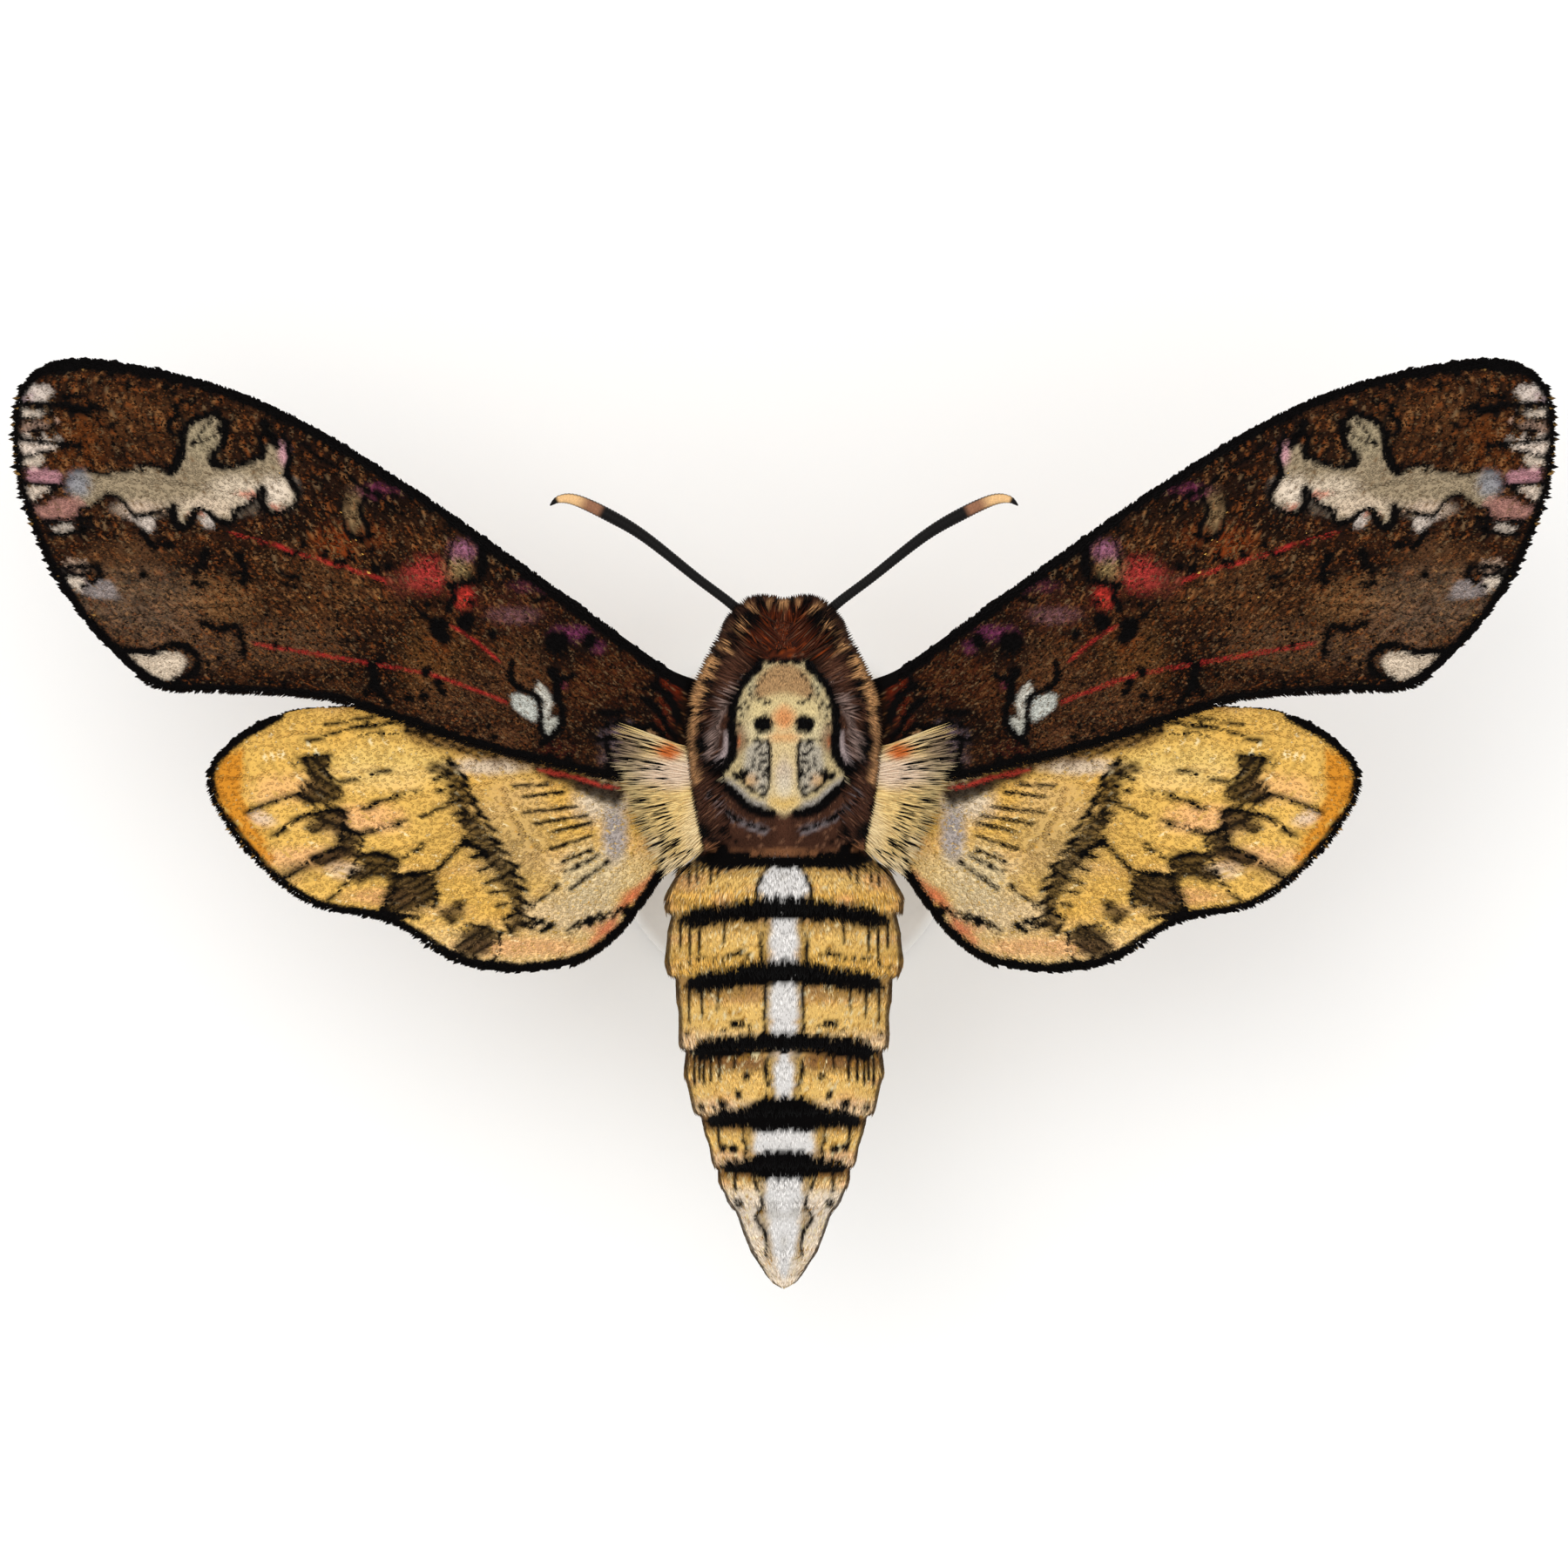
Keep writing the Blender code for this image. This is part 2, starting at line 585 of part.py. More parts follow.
def make_legs(thorax, finishes):
    for side, sign in SIDES:
        for pair, path in LEG_PATHS.items():
            leg = tube(f"leg_{pair}_{side}", [(sign * row[0], *row[1:]) for row in path],
                       finishes["leg"], LEG_STEP)
            cut_clear(leg, thorax)
            thorns = [thorn(f"thorn_{number}", (sign * row[0], row[1], row[2]),
                            (sign * row[3], row[4], row[5]), finishes["leg"])
                      for number, row in enumerate(LEG_THORNS[pair])]
            join_all(leg, thorns)


def turned(name, profile, finish):
    """A solid turned about the stand's axis from rows of (radius, height), bottom to top."""
    rings = []
    for radius, height in profile:
        rings.append([(radius * math.cos(2.0 * math.pi * index / STAND_SIDES),
                       radius * math.sin(2.0 * math.pi * index / STAND_SIDES), height)
                      for index in range(STAND_SIDES)])
    return loft(name, rings, finish)


def make_stand(thorax, finishes):
    """A flat round foot, and a short rod up to the underside of the thorax."""
    edge = BASE_BEVEL / 3.0
    turned("stand_base", ((BASE_RADIUS - edge, 0.0), (BASE_RADIUS, edge),
                          (BASE_RADIUS, BASE_HEIGHT - BASE_BEVEL),
                          (BASE_RADIUS - edge, BASE_HEIGHT - edge),
                          (BASE_RADIUS - BASE_BEVEL, BASE_HEIGHT)), finishes["base"])
    start = BASE_HEIGHT + TOUCH_GAP
    neck = start + ROD_FOOT_HEIGHT
    cup = AXIS_HEIGHT - ROD_CUP_DEPTH
    rod = turned("stand_rod", ((ROD_FOOT_RADIUS, start), (ROD_FOOT_RADIUS, neck - ROD_FOOT_BEVEL),
                               (ROD_FOOT_RADIUS - ROD_FOOT_BEVEL, neck),
                               (ROD_RADIUS, neck + ROD_FOOT_NECK), (ROD_RADIUS, cup - ROD_CUP_NECK),
                               (ROD_TOP_RADIUS, cup), (ROD_TOP_RADIUS, AXIS_HEIGHT - ROD_TOP_DEPTH)),
                 finishes["rod"])
    cut_clear(rod, thorax)


def main():
    remove_all_objects()
    finishes = {
        "thorax": material("hair_dark_brown", 0.060, 0.024, 0.013, 0.85),
        "abdomen": material("hair_golden", 0.700, 0.430, 0.110, 0.80),
        "forewing": material("scale_dark_brown", 0.045, 0.020, 0.010, 0.75),
        "hindwing": material("scale_yellow", 0.760, 0.480, 0.150, 0.70),
        "antenna": material("antenna_cuticle", 0.020, 0.011, 0.008, 0.55),
        "eye": material("eye_cuticle", 0.012, 0.006, 0.004, 0.20),
        "leg": material("leg_scales", 0.070, 0.034, 0.018, 0.75),
        "base": material("stand_white_lacquer", 0.800, 0.790, 0.760, 0.40),
        "rod": material("stand_steel", 0.560, 0.560, 0.570, 0.30, 1.0),
    }
    head, thorax, segments = make_body(finishes)
    make_face(head, thorax, finishes)
    make_wings(thorax, segments[0], finishes)
    make_legs(thorax, finishes)
    make_stand(thorax, finishes)
    make_fans(thorax, finishes)


main()
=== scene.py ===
# %% [markdown]
# # A death's head hawkmoth on a display stand
# The real animal is a heavy, furry moth about 110 mm across, with a mark like a skull on its
# back. A museum would show it pinned or on a wire. This lesson dresses a plain model of it:
# the solids give the sizes, and everything here is the surface that the eye sees, which on a
# moth is almost all hair and scales.

# %% Load the solids
import json
import math
import bpy
import numpy as np
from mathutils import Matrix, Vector

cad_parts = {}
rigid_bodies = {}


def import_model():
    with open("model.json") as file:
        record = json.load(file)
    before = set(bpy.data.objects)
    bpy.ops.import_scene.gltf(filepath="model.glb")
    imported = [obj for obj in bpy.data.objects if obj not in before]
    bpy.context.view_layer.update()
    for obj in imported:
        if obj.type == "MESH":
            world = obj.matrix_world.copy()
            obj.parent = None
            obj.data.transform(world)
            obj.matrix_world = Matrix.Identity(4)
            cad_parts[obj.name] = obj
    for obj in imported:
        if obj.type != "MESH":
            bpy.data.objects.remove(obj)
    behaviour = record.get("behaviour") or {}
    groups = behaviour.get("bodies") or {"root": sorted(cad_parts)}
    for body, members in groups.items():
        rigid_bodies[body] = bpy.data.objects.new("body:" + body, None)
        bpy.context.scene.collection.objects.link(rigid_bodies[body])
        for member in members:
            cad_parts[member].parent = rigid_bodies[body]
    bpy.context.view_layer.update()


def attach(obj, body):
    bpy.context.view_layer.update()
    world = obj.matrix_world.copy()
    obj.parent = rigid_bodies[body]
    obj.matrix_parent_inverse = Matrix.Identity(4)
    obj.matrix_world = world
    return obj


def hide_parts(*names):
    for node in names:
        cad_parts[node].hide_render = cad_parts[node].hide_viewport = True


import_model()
MM = 0.001
SIDES = (("left", -1.0), ("right", 1.0))

# %% [markdown]
# The picture looks straight down on the moth's back. A drawing has no perspective, so the
# camera stands far off with a long lens, which comes close to that. The picture's full width
# is the wingspan over the share of the width that the wings fill.

# %% Camera
PICTURE_PIXELS = 1800
WING_PIXELS = 1770
WINGSPAN = 110.0
WING_PLANE = 37.0
PICTURE_WIDTH = WINGSPAN * PICTURE_PIXELS / WING_PIXELS
PICTURE_MIDDLE_Y = 3.05
LENS = 300.0
SENSOR = 36.0


def add_camera():
    distance = PICTURE_WIDTH * LENS / SENSOR
    bpy.ops.object.camera_add(location=(0.0, PICTURE_MIDDLE_Y * MM, (WING_PLANE + distance) * MM))
    camera = bpy.context.object
    camera.data.lens = LENS
    camera.data.sensor_width = SENSOR
    camera.data.clip_end = 10.0
    bpy.context.scene.camera = camera
    return camera


camera = add_camera()
print("camera", round(camera.location.z, 3), "m over the floor")

# %% [markdown]
# The floor is a large pale sheet, and the light is what a photographer's tent gives: one big
# soft lamp overhead, a weaker one from the front left so that hair and veins throw small
# shadows, and an even white sky.

# %% Floor and light
FLOOR_SIZE = 3.0
LAMPS = (("key", (-0.22, 0.25, 0.85), 0.60, 2.0), ("fill", (0.45, -0.30, 0.70), 0.80, 0.7),
         ("top", (0.0, 0.0, 1.30), 1.20, 2.0))
SKY = 0.85


def linear(code, alpha=None):
    """An sRGB hex colour as linear numbers."""
    parts = np.array([int(code[at:at + 2], 16) / 255.0 for at in (1, 3, 5)])
    made = np.where(parts <= 0.04045, parts / 12.92, ((parts + 0.055) / 1.055) ** 2.4)
    return made if alpha is None else (*made, alpha)


def feed(tree, node, links):
    """Links into a node: the name of each input, with the node and the output that feed it."""
    for name, (source, output) in links.items():
        tree.links.new(source.outputs[output], node.inputs[name])


def add_node(tree, kind, settings=None, links=None):
    """One shader node with its settings by name; stops are the places and colours of a ramp."""
    node = tree.nodes.new("ShaderNode" + kind)
    for name, value in (settings or {}).items():
        if name == "stops":
            for stop, (position, code) in zip(node.color_ramp.elements, value):
                stop.position, stop.color = position, linear(code, 1.0)
        elif name in node.inputs:
            node.inputs[name].default_value = value
        else:
            setattr(node, name, value)
    feed(tree, node, links or {})
    return node


def new_finish(name, **sockets):
    """A material with one Principled shader, its constant sockets set."""
    finish = bpy.data.materials.new(name)
    finish.use_nodes = True
    shader = finish.node_tree.nodes["Principled BSDF"]
    for socket, value in sockets.items():
        shader.inputs[socket.replace("_", " ")].default_value = value
    return finish, finish.node_tree, shader


def add_floor():
    bpy.ops.mesh.primitive_plane_add(size=FLOOR_SIZE, location=(0.0, 0.0, 0.0))
    floor = bpy.context.object
    floor.name = "floor"
    paper = new_finish("matt_white_paper", Roughness=0.9, Base_Color=linear("#FBFBFA", 1.0))[0]
    floor.data.materials.append(paper)


def add_light():
    for name, place, size, power in LAMPS:
        bpy.ops.object.light_add(type="AREA", location=place)
        lamp = bpy.context.object
        lamp.name = name
        lamp.data.size = size
        lamp.data.energy = power
        aim = Vector((0.0, 0.0, WING_PLANE * MM)) - lamp.location
        lamp.rotation_euler = aim.to_track_quat("-Z", "Y").to_euler()
    world = bpy.data.worlds.new("studio")
    world.use_nodes = True
    sky = world.node_tree.nodes["Background"]
    sky.inputs["Color"].default_value = (1.0, 1.0, 1.0, 1.0)
    sky.inputs["Strength"].default_value = SKY
    bpy.context.scene.world = world


add_floor()
add_light()
bpy.context.scene.view_settings.view_transform = "Standard"
print("lamps", len(LAMPS))

# %% [markdown]
# A moth has no paint: each scale or hair holds one pigment, and thousands of them make the
# markings. So the markings are worked out here as a function of place, once, and both the
# skin and every hair or scale over it ask that function for their colour. `Paint` lays soft
# patches, strokes and spots over a ground colour, as a painter would. Places are in
# millimetres, out from the moth's middle line and along its body, so both sides match.

# %% Noise, distances and the painter
LATTICE = 64
FAR = 99.0


def ease(value, low, high):
    """From 0 below low to 1 above high, smoothly."""
    share = np.clip((value - low) / (high - low), 0.0, 1.0)
    return share * share * (3.0 - 2.0 * share)


def mottle(x, y, size, seed):
    """Smooth random values from 0 to 1, with spots about one size across."""
    lattice = np.random.default_rng(seed).random((LATTICE, LATTICE))
    u, v = np.asarray(x) / size, np.asarray(y) / size
    column, row = np.floor(u).astype(int), np.floor(v).astype(int)
    a, b = ease(u - column, 0.0, 1.0), ease(v - row, 0.0, 1.0)
    corner = [lattice[(column + i) % LATTICE, (row + j) % LATTICE] for i in (0, 1) for j in (0, 1)]
    return (corner[0] * (1 - a) * (1 - b) + corner[1] * (1 - a) * b
            + corner[2] * a * (1 - b) + corner[3] * a * b)


def smooth_line(controls, step=0.6, closed=False):
    """Points on a curve through the controls, about one step apart."""
    controls = np.array(controls, dtype=float)
    count = len(controls)
    points = []
    for index in range(count if closed else count - 1):
        start, end = controls[index], controls[(index + 1) % count]
        before = controls[index - 1] if closed or index > 0 else 2 * start - end
        after = controls[(index + 2) % count] if closed or index + 2 < count else 2 * end - start
        pieces = max(1, round(float(np.linalg.norm(end - start)) / step))
        t = (np.arange(pieces) / pieces)[:, None]
        points.append(0.5 * (2 * start + (end - before) * t
                             + (2 * before - 5 * start + 4 * end - after) * t ** 2
                             + (3 * start - before - 3 * end + after) * t ** 3))
    if not closed:
        points.append(controls[-1:])
    return np.concatenate(points)


def line_distance(x, y, line, reach=2.5):
    """Distance of many points from a polyline; points beyond the reach get a large number."""
    found = np.full(len(x), FAR)
    low, high = line.min(axis=0) - reach, line.max(axis=0) + reach
    near = np.flatnonzero((x > low[0]) & (x < high[0]) & (y > low[1]) & (y < high[1]))
    points = np.column_stack((x[near], y[near]))
    best = np.full(len(near), FAR)
    for start, end in zip(line, line[1:]):
        run = end - start
        share = np.clip((points - start) @ run / max(run @ run, 1e-9), 0.0, 1.0)
        best = np.minimum(best, np.linalg.norm(points - start - share[:, None] * run, axis=1))
    found[near] = best
    return found


def inside_line(x, y, outline):
    """Whether each point lies inside a closed outline."""
    inside = np.zeros(len(x), dtype=bool)
    for start, end in zip(outline, np.roll(outline, -1, axis=0)):
        crossed = (start[1] > y) != (end[1] > y)
        slope = (end[0] - start[0]) / (end[1] - start[1] + 1e-12)
        inside ^= crossed & (x < start[0] + slope * (y - start[1]))
    return inside


RAGGED_SIZE = 0.45


class Paint:
    """Layers of colour over many points."""

    def __init__(self, x, y, ground, seed):
        self.x = np.asarray(x, dtype=float)
        self.y = np.asarray(y, dtype=float)
        self.colour = np.tile(linear(ground), (len(self.x), 1))
        self.random = np.random.default_rng(seed)
        self.ragged = mottle(self.x, self.y, RAGGED_SIZE, 77) - 0.5

    def lay(self, code, cover):
        """Cover the points with a colour, by a share each."""
        self.colour += np.clip(cover, 0.0, 1.0)[:, None] * (linear(code) - self.colour)

    def stroke(self, code, controls, width, strength=1.0, ragged=0.5, soft=0.06):
        """A brush line of one width, its edges broken up as by single scales."""
        away = line_distance(self.x, self.y, smooth_line(controls))
        edge = width / 2.0 + self.ragged * ragged * width
        self.lay(code, strength * (1.0 - ease(away, edge - soft, edge + soft)))

    def patch(self, code, controls, strength=1.0, soft=0.12, ragged=0.25):
        """A filled shape with a soft, broken edge."""
        outline = smooth_line(controls, closed=True)
        rim = line_distance(self.x, self.y, np.vstack((outline, outline[:1])))
        depth = np.where(inside_line(self.x, self.y, outline), rim, -rim) + self.ragged * ragged
        self.lay(code, strength * ease(depth, -soft, soft))

    def spot(self, code, centre, radii, strength=1.0, soft=0.35):
        """A round or oval spot that fades out over a share of its radius."""
        away = np.hypot((self.x - centre[0]) / radii[0], (self.y - centre[1]) / radii[1])
        self.lay(code, strength * (1.0 - ease(away + self.ragged * 0.3, 1.0 - soft, 1.0 + soft)))

    def grain(self, code, share):
        """Single scales of another colour, strewn at a density."""
        self.lay(code, (self.random.random(len(self.x)) < share) * 1.0)


print("mottle at three places:", np.round(mottle([1.0, 2.0, 3.0], [4.0, 5.0, 6.0], 2.0, 1), 2))

# %% [markdown]
# The markings were read off the picture, so their places are kept in the picture's own pixels,
# a column and then a row, named for what they are. `to_mm` turns them into millimetres on the
# animal: outwards from its middle line, and along its body. A cloud's row gives its colour,
# middle, two radii and strength, all in pixels. A forewing is bark brown, dusted with
# tan, rust and a little pink, with a pale cloud near the tip, black wavy lines round it, and
# pale wedges between the veins along the outer edge.

# %% Forewing clouds
MIDDLE_LINE = 900.5
AXIS_ROW = 949.0
PIXEL = 0.062147
BLACK_SCALE = "#050303"
BARK_TONE = np.array((0.68, 0.48, 0.38))

FOREWING_CLOUDS = (
    ("#6B4E30", 150, 480, 75, 30, 0.55), ("#7A4A1E", 92, 520, 26, 50, 0.75),
    ("#5F4630", 215, 560, 60, 30, 0.4), ("#8A7256", 150, 655, 46, 34, 0.55),
    ("#A3865C", 245, 690, 48, 26, 0.75), ("#8E7A64", 190, 725, 50, 26, 0.75),
    ("#8A7A68", 120, 690, 26, 30, 0.7), ("#9A8468", 330, 740, 70, 26, 0.45),
    ("#80705E", 250, 750, 44, 16, 0.6), ("#6E5334", 340, 660, 60, 40, 0.45),
    ("#A4501A", 385, 622, 22, 22, 0.8), ("#8C4A1C", 430, 612, 16, 14, 0.6),
    ("#7A5A3A", 400, 690, 60, 40, 0.4), ("#8A6A3C", 495, 760, 34, 46, 0.65),
    ("#8C4E1E", 505, 730, 16, 26, 0.6), ("#7C6048", 540, 800, 60, 26, 0.45),
    ("#9A7450", 596, 770, 26, 34, 0.65), ("#8A5A34", 660, 800, 34, 30, 0.55),
    ("#7A4424", 700, 780, 40, 34, 0.55), ("#6A4030", 590, 700, 46, 26, 0.55),
    ("#A67C58", 575, 846, 36, 12, 0.55), ("#7A2E28", 640, 860, 20, 10, 0.45),
    ("#1A100B", 190, 640, 70, 12, 0.65), ("#1A100B", 380, 560, 26, 50, 0.55),
    ("#150D09", 455, 580, 70, 30, 0.6), ("#150D09", 600, 650, 50, 24, 0.7),
    ("#150D09", 300, 650, 34, 20, 0.55), ("#1A100B", 690, 830, 34, 26, 0.75),
    ("#1A100B", 430, 740, 40, 40, 0.55), ("#1A100B", 320, 500, 60, 18, 0.45))
FOREWING_BLUSHES = (
    ("#7A5030", 150, 640, 54, 12, 0.45), ("#8A3A66", 655, 727, 22, 9, 0.85),
    ("#8A3A66", 686, 742, 8, 7, 0.8), ("#7A2A48", 645, 784, 6, 6, 0.8),
    ("#8A3A5C", 435, 563, 26, 8, 0.65), ("#9A6A70", 590, 706, 26, 9, 0.55),
    ("#7C3A50", 610, 672, 24, 7, 0.55), ("#B0708C", 529, 633, 15, 12, 0.85),
    ("#B89C68", 522, 652, 16, 12, 0.75), ("#CC3E3A", 490, 659, 22, 19, 0.95),
    ("#D03A30", 531, 683, 14, 15, 0.95), ("#9A4034", 470, 668, 26, 16, 0.45),
    ("#A08890", 716, 848, 24, 16, 0.7), ("#C4B0B4", 736, 858, 12, 14, 0.8),
    ("#8A7478", 706, 872, 16, 12, 0.7), ("#7A2408", 768, 790, 12, 26, 0.7),
    ("#6A2410", 760, 832, 10, 16, 0.6), ("#C89A6A", 748, 846, 7, 12, 0.8),
    ("#140C08", 652, 740, 52, 10, 0.5), ("#A2845C", 406, 586, 10, 22, 0.85),
    ("#8C7660", 165, 690, 60, 36, 0.35))

print("forewing clouds and blushes:", len(FOREWING_CLOUDS), len(FOREWING_BLUSHES))

# %% [markdown]
# Patches with a clear outline lie over the clouds: small pale ones at the root, the pale cloud
# near the tip with its tints, and the wedges between the veins.

# %% Forewing patches
BASE_PATCHES = (
    ("#C9CAC0", (588, 799, 596, 797, 610, 800, 617, 812, 615, 830, 606, 826, 592, 814)),
    ("#D3CEC0", (611, 791, 620, 784, 628, 794, 637, 802, 632, 814, 626, 834, 621, 822, 620, 802)),
    ("#BDBBAE", (621, 828, 640, 822, 642, 838, 628, 846)))
CLOUD_PATCH = (
    84, 550, 99, 541, 138, 542, 164, 536, 187, 540, 207, 527, 212, 500, 219, 486, 234, 476, 252, 482,
    258, 497, 244, 522, 262, 535, 299, 526, 303, 514, 322, 513, 331, 535, 330, 546, 342, 566, 335, 582,
    306, 587, 301, 560, 286, 566, 267, 596, 241, 588, 218, 592, 208, 607, 199, 587, 158, 594, 134, 568,
    116, 572, 98, 582, 86, 570)
CLOUD_TINTS = (
    ("#8A8C94", 90, 556, 14, 14, 0.8), ("#D8C2A8", 240, 582, 40, 12, 0.85),
    ("#E0CDB4", 275, 562, 34, 14, 0.75), ("#E4D2BC", 318, 565, 20, 18, 0.9),
    ("#D8A0A8", 327, 520, 7, 14, 0.85), ("#D6BCA4", 160, 584, 26, 9, 0.8),
    ("#A89A7A", 232, 505, 18, 20, 0.5), ("#CBB89C", 215, 590, 10, 9, 0.8),
    ("#D4684C", 225, 590, 10, 3, 0.7), ("#D4684C", 285, 567, 16, 2.5, 0.6),
    ("#D4684C", 315, 581, 12, 2.5, 0.6))
EDGE_PATCHES = (
    ("#D9C9BC", (27, 450, 52, 440, 60, 458, 26, 462), 0.85),
    ("#D8B8BC", (26, 456, 42, 448, 40, 462, 25, 464), 0.85),
    ("#DCCBB8", (24, 470, 60, 472, 46, 479, 24, 480), 0.9),
    ("#C9A48E", (24, 486, 66, 484, 44, 494, 24, 497), 0.7),
    ("#E2CFBE", (24, 502, 78, 508, 40, 523, 25, 520), 0.9),
    ("#E0CDB8", (26, 525, 52, 522, 44, 536, 28, 536), 0.8),
    ("#C89098", (28, 538, 70, 545, 66, 556, 30, 552), 0.8),
    ("#E0CCB8", (31, 558, 60, 558, 44, 570, 34, 574), 0.9),
    ("#B88478", (42, 580, 96, 574, 84, 596, 48, 594), 0.75),
    ("#D4C4B4", (58, 604, 86, 603, 80, 613, 60, 616), 0.85),
    ("#C8A890", (72, 646, 100, 642, 104, 654, 78, 655), 0.8),
    ("#E2D0BC", (76, 658, 97, 660, 95, 674, 90, 680), 0.9),
    ("#A49A98", (92, 668, 124, 668, 136, 684, 104, 688), 0.65),
    ("#D6C6B8", (150, 594, 177, 596, 176, 612, 166, 606), 0.85),
    ("#D6C8BC", (228, 592, 248, 590, 244, 604, 232, 602), 0.8),
    ("#E3CFB6", (146, 752, 205, 750, 213, 770, 190, 783, 172, 780), 0.95))

print("patches at the root and along the edge:", len(BASE_PATCHES), len(EDGE_PATCHES))

# %% [markdown]
# Thin lines and round dots come last. A line starts with its width in millimetres, and the
# dots are grouped by their radius.

# %% Forewing lines and dots
FOREWING_LINES = (
    (0.22, (100, 539, 113, 544, 132, 542, 152, 540, 164, 541)),
    (0.36, (163, 541, 163, 534, 172, 531, 181, 534, 188, 540, 196, 541)), (0.62, (193, 542, 201, 536, 207,
    524, 209, 510, 211, 499, 216, 487, 225, 480, 236, 476, 247, 476, 256, 482, 261, 493, 258, 504, 251,
    515, 244, 525, 245, 531, 253, 535)),
    (0.44, (253, 535, 267, 536, 284, 529, 302, 525, 302, 515, 296, 504, 301, 500, 309, 502, 316, 512)),
    (0.6, (304, 486, 312, 501, 319, 511)), (0.46, (324, 500, 331, 510, 334, 524, 330, 538, 329, 545, 337,
    555, 343, 566, 340, 580, 331, 586, 317, 590, 306, 588, 302, 577, 305, 566, 301, 560, 289, 575, 275,
    584, 268, 588, 268, 598, 261, 601, 250, 598, 240, 588, 230, 583, 223, 587)),
    (0.62, (223, 587, 219, 600, 211, 607, 202, 602, 199, 593, 200, 583)), (0.3, (202, 581, 186, 586, 169,
    590, 156, 593, 149, 586, 142, 576, 134, 569, 124, 567, 114, 576, 104, 583, 90, 586)),
    (0.42, (222, 462, 208, 461, 202, 466, 205, 475, 198, 480, 191, 489, 195, 496, 211, 498)),
    (0.16, (222, 508, 243, 483, 252, 496, 236, 505, 220, 511)),
    (0.46, (164, 611, 170, 621, 177, 628, 197, 625)),
    (0.55, (141, 747, 163, 748, 186, 746, 200, 740, 216, 744, 228, 757, 225, 771, 200, 782)),
    (0.4, (399, 611, 413, 619, 424, 614, 424, 605, 414, 591, 413, 580, 418, 571)),
    (0.14, (392, 569, 393, 594, 399, 611)),
    (0.24, (345, 508, 365, 524, 393, 541, 418, 560, 435, 566, 458, 569)),
    (0.24, (418, 560, 440, 574, 462, 590)), (0.14, (519, 622, 511, 660)),
    (0.66, (553, 622, 554, 645, 551, 662)), (0.5, (549, 666, 520, 668, 516, 672)),
    (0.46, (520, 670, 520, 684, 514, 700)),
    (0.44, (588, 760, 586, 777, 595, 789, 607, 794, 617, 799, 621, 813, 620, 836, 626, 847)),
    (0.66, (631, 768, 640, 780, 638, 796, 645, 813, 644, 833, 634, 844, 623, 852)),
    (0.4, (640, 780, 658, 774, 650, 779)), (0.34, (612, 690, 640, 680)),
    (0.6, (236, 633, 232, 646, 225, 658)), (0.34, (225, 658, 222, 668, 230, 673, 237, 667)),
    (0.6, (273, 638, 279, 650, 282, 660, 280, 668)), (0.4, (266, 659, 280, 656)),
    (0.44, (233, 716, 256, 722, 273, 719)), (0.3, (273, 719, 280, 740, 281, 756)),
    (0.46, (420, 795, 432, 780, 424, 764, 436, 756)), (0.55, (428, 770, 432, 790, 446, 806)),
    (0.5, (690, 817, 702, 819, 715, 817)), (0.56, (707, 829, 724, 834, 740, 838)),
    (0.46, (686, 849, 704, 847, 724, 848)), (0.4, (697, 853, 697, 864)),
    (0.4, (746, 830, 756, 838, 766, 852, 777, 857, 776, 846, 766, 836, 760, 822)),
    (0.66, (752, 786, 766, 798, 774, 812, 778, 826)), (0.5, (736, 800, 752, 812, 762, 826)),
    (0.24, (444, 500, 470, 520)), (0.22, (470, 692, 486, 706, 496, 712)),
    (0.55, (27, 463, 52, 466, 76, 466, 112, 469)), (0.16, (26, 480, 50, 477, 73, 473)),
    (0.18, (27, 485, 50, 486, 68, 487)), (0.24, (28, 497, 44, 493, 60, 490)),
    (0.26, (26, 504, 56, 509, 90, 511, 56, 518, 26, 525)), (0.5, (76, 508, 92, 511)),
    (0.26, (31, 555, 60, 556, 73, 557, 56, 566, 40, 582)), (0.42, (51, 600, 76, 597, 104, 594)),
    (0.4, (56, 614, 78, 613, 96, 606, 107, 602)),
    (0.42, (70, 653, 92, 650, 112, 650, 118, 661, 106, 669, 96, 672)),
    (0.34, (76, 660, 90, 660, 104, 658)), (0.26, (384, 646, 410, 640)),
    (0.4, (74, 456, 90, 453, 104, 461)), (0.5, (80, 473, 94, 470, 106, 478)),
    (0.26, (88, 594, 98, 604, 94, 616)), (0.3, (320, 656, 334, 662, 350, 660)),
    (0.2, (322, 668, 340, 674)), (0.2, (326, 636, 344, 634)), (0.2, (392, 736, 412, 734)))
FOREWING_DOTS = (
    (0.2, (150, 766)),
    (0.22, (46, 430, 96, 436, 114, 440, 200, 452, 112, 484, 330, 744, 266, 782, 380, 777)),
    (0.24, (545, 838, 60, 427, 190, 444, 238, 760, 326, 784, 748, 808, 740, 790, 785, 838)), (0.26,
    (560, 834, 72, 424, 170, 434, 128, 492, 104, 476, 262, 766, 290, 780, 310, 782, 403, 775, 720,
    800)), (0.28, (737, 856, 652, 870, 540, 690, 490, 694, 148, 442, 316, 740)),
    (0.3, (347, 624, 394, 645, 427, 633, 696, 832, 566, 846, 88, 424, 110, 424, 252, 755, 756, 776)),
    (0.32, (632, 868, 128, 430, 280, 745)), (0.34, (469, 801, 508, 794, 276, 728)),
    (0.36, (445, 650, 702, 866, 770, 800)), (0.38, (165, 660, 373, 635)), (0.4, (489, 771)),
    (0.42, (432, 652, 565, 728, 503, 783, 486, 799)), (0.5, (700, 880)), (0.55, (511, 733)),
    (0.6, (677, 736, 712, 892)), (0.75, (535, 712)), (0.85, (503, 718)), (0.95, (640, 738)))
RED_LINES = (
    (264, 611, 350, 637, 450, 668), (293, 739, 400, 757, 500, 776, 581, 806),
    (518, 718, 545, 735, 572, 758))

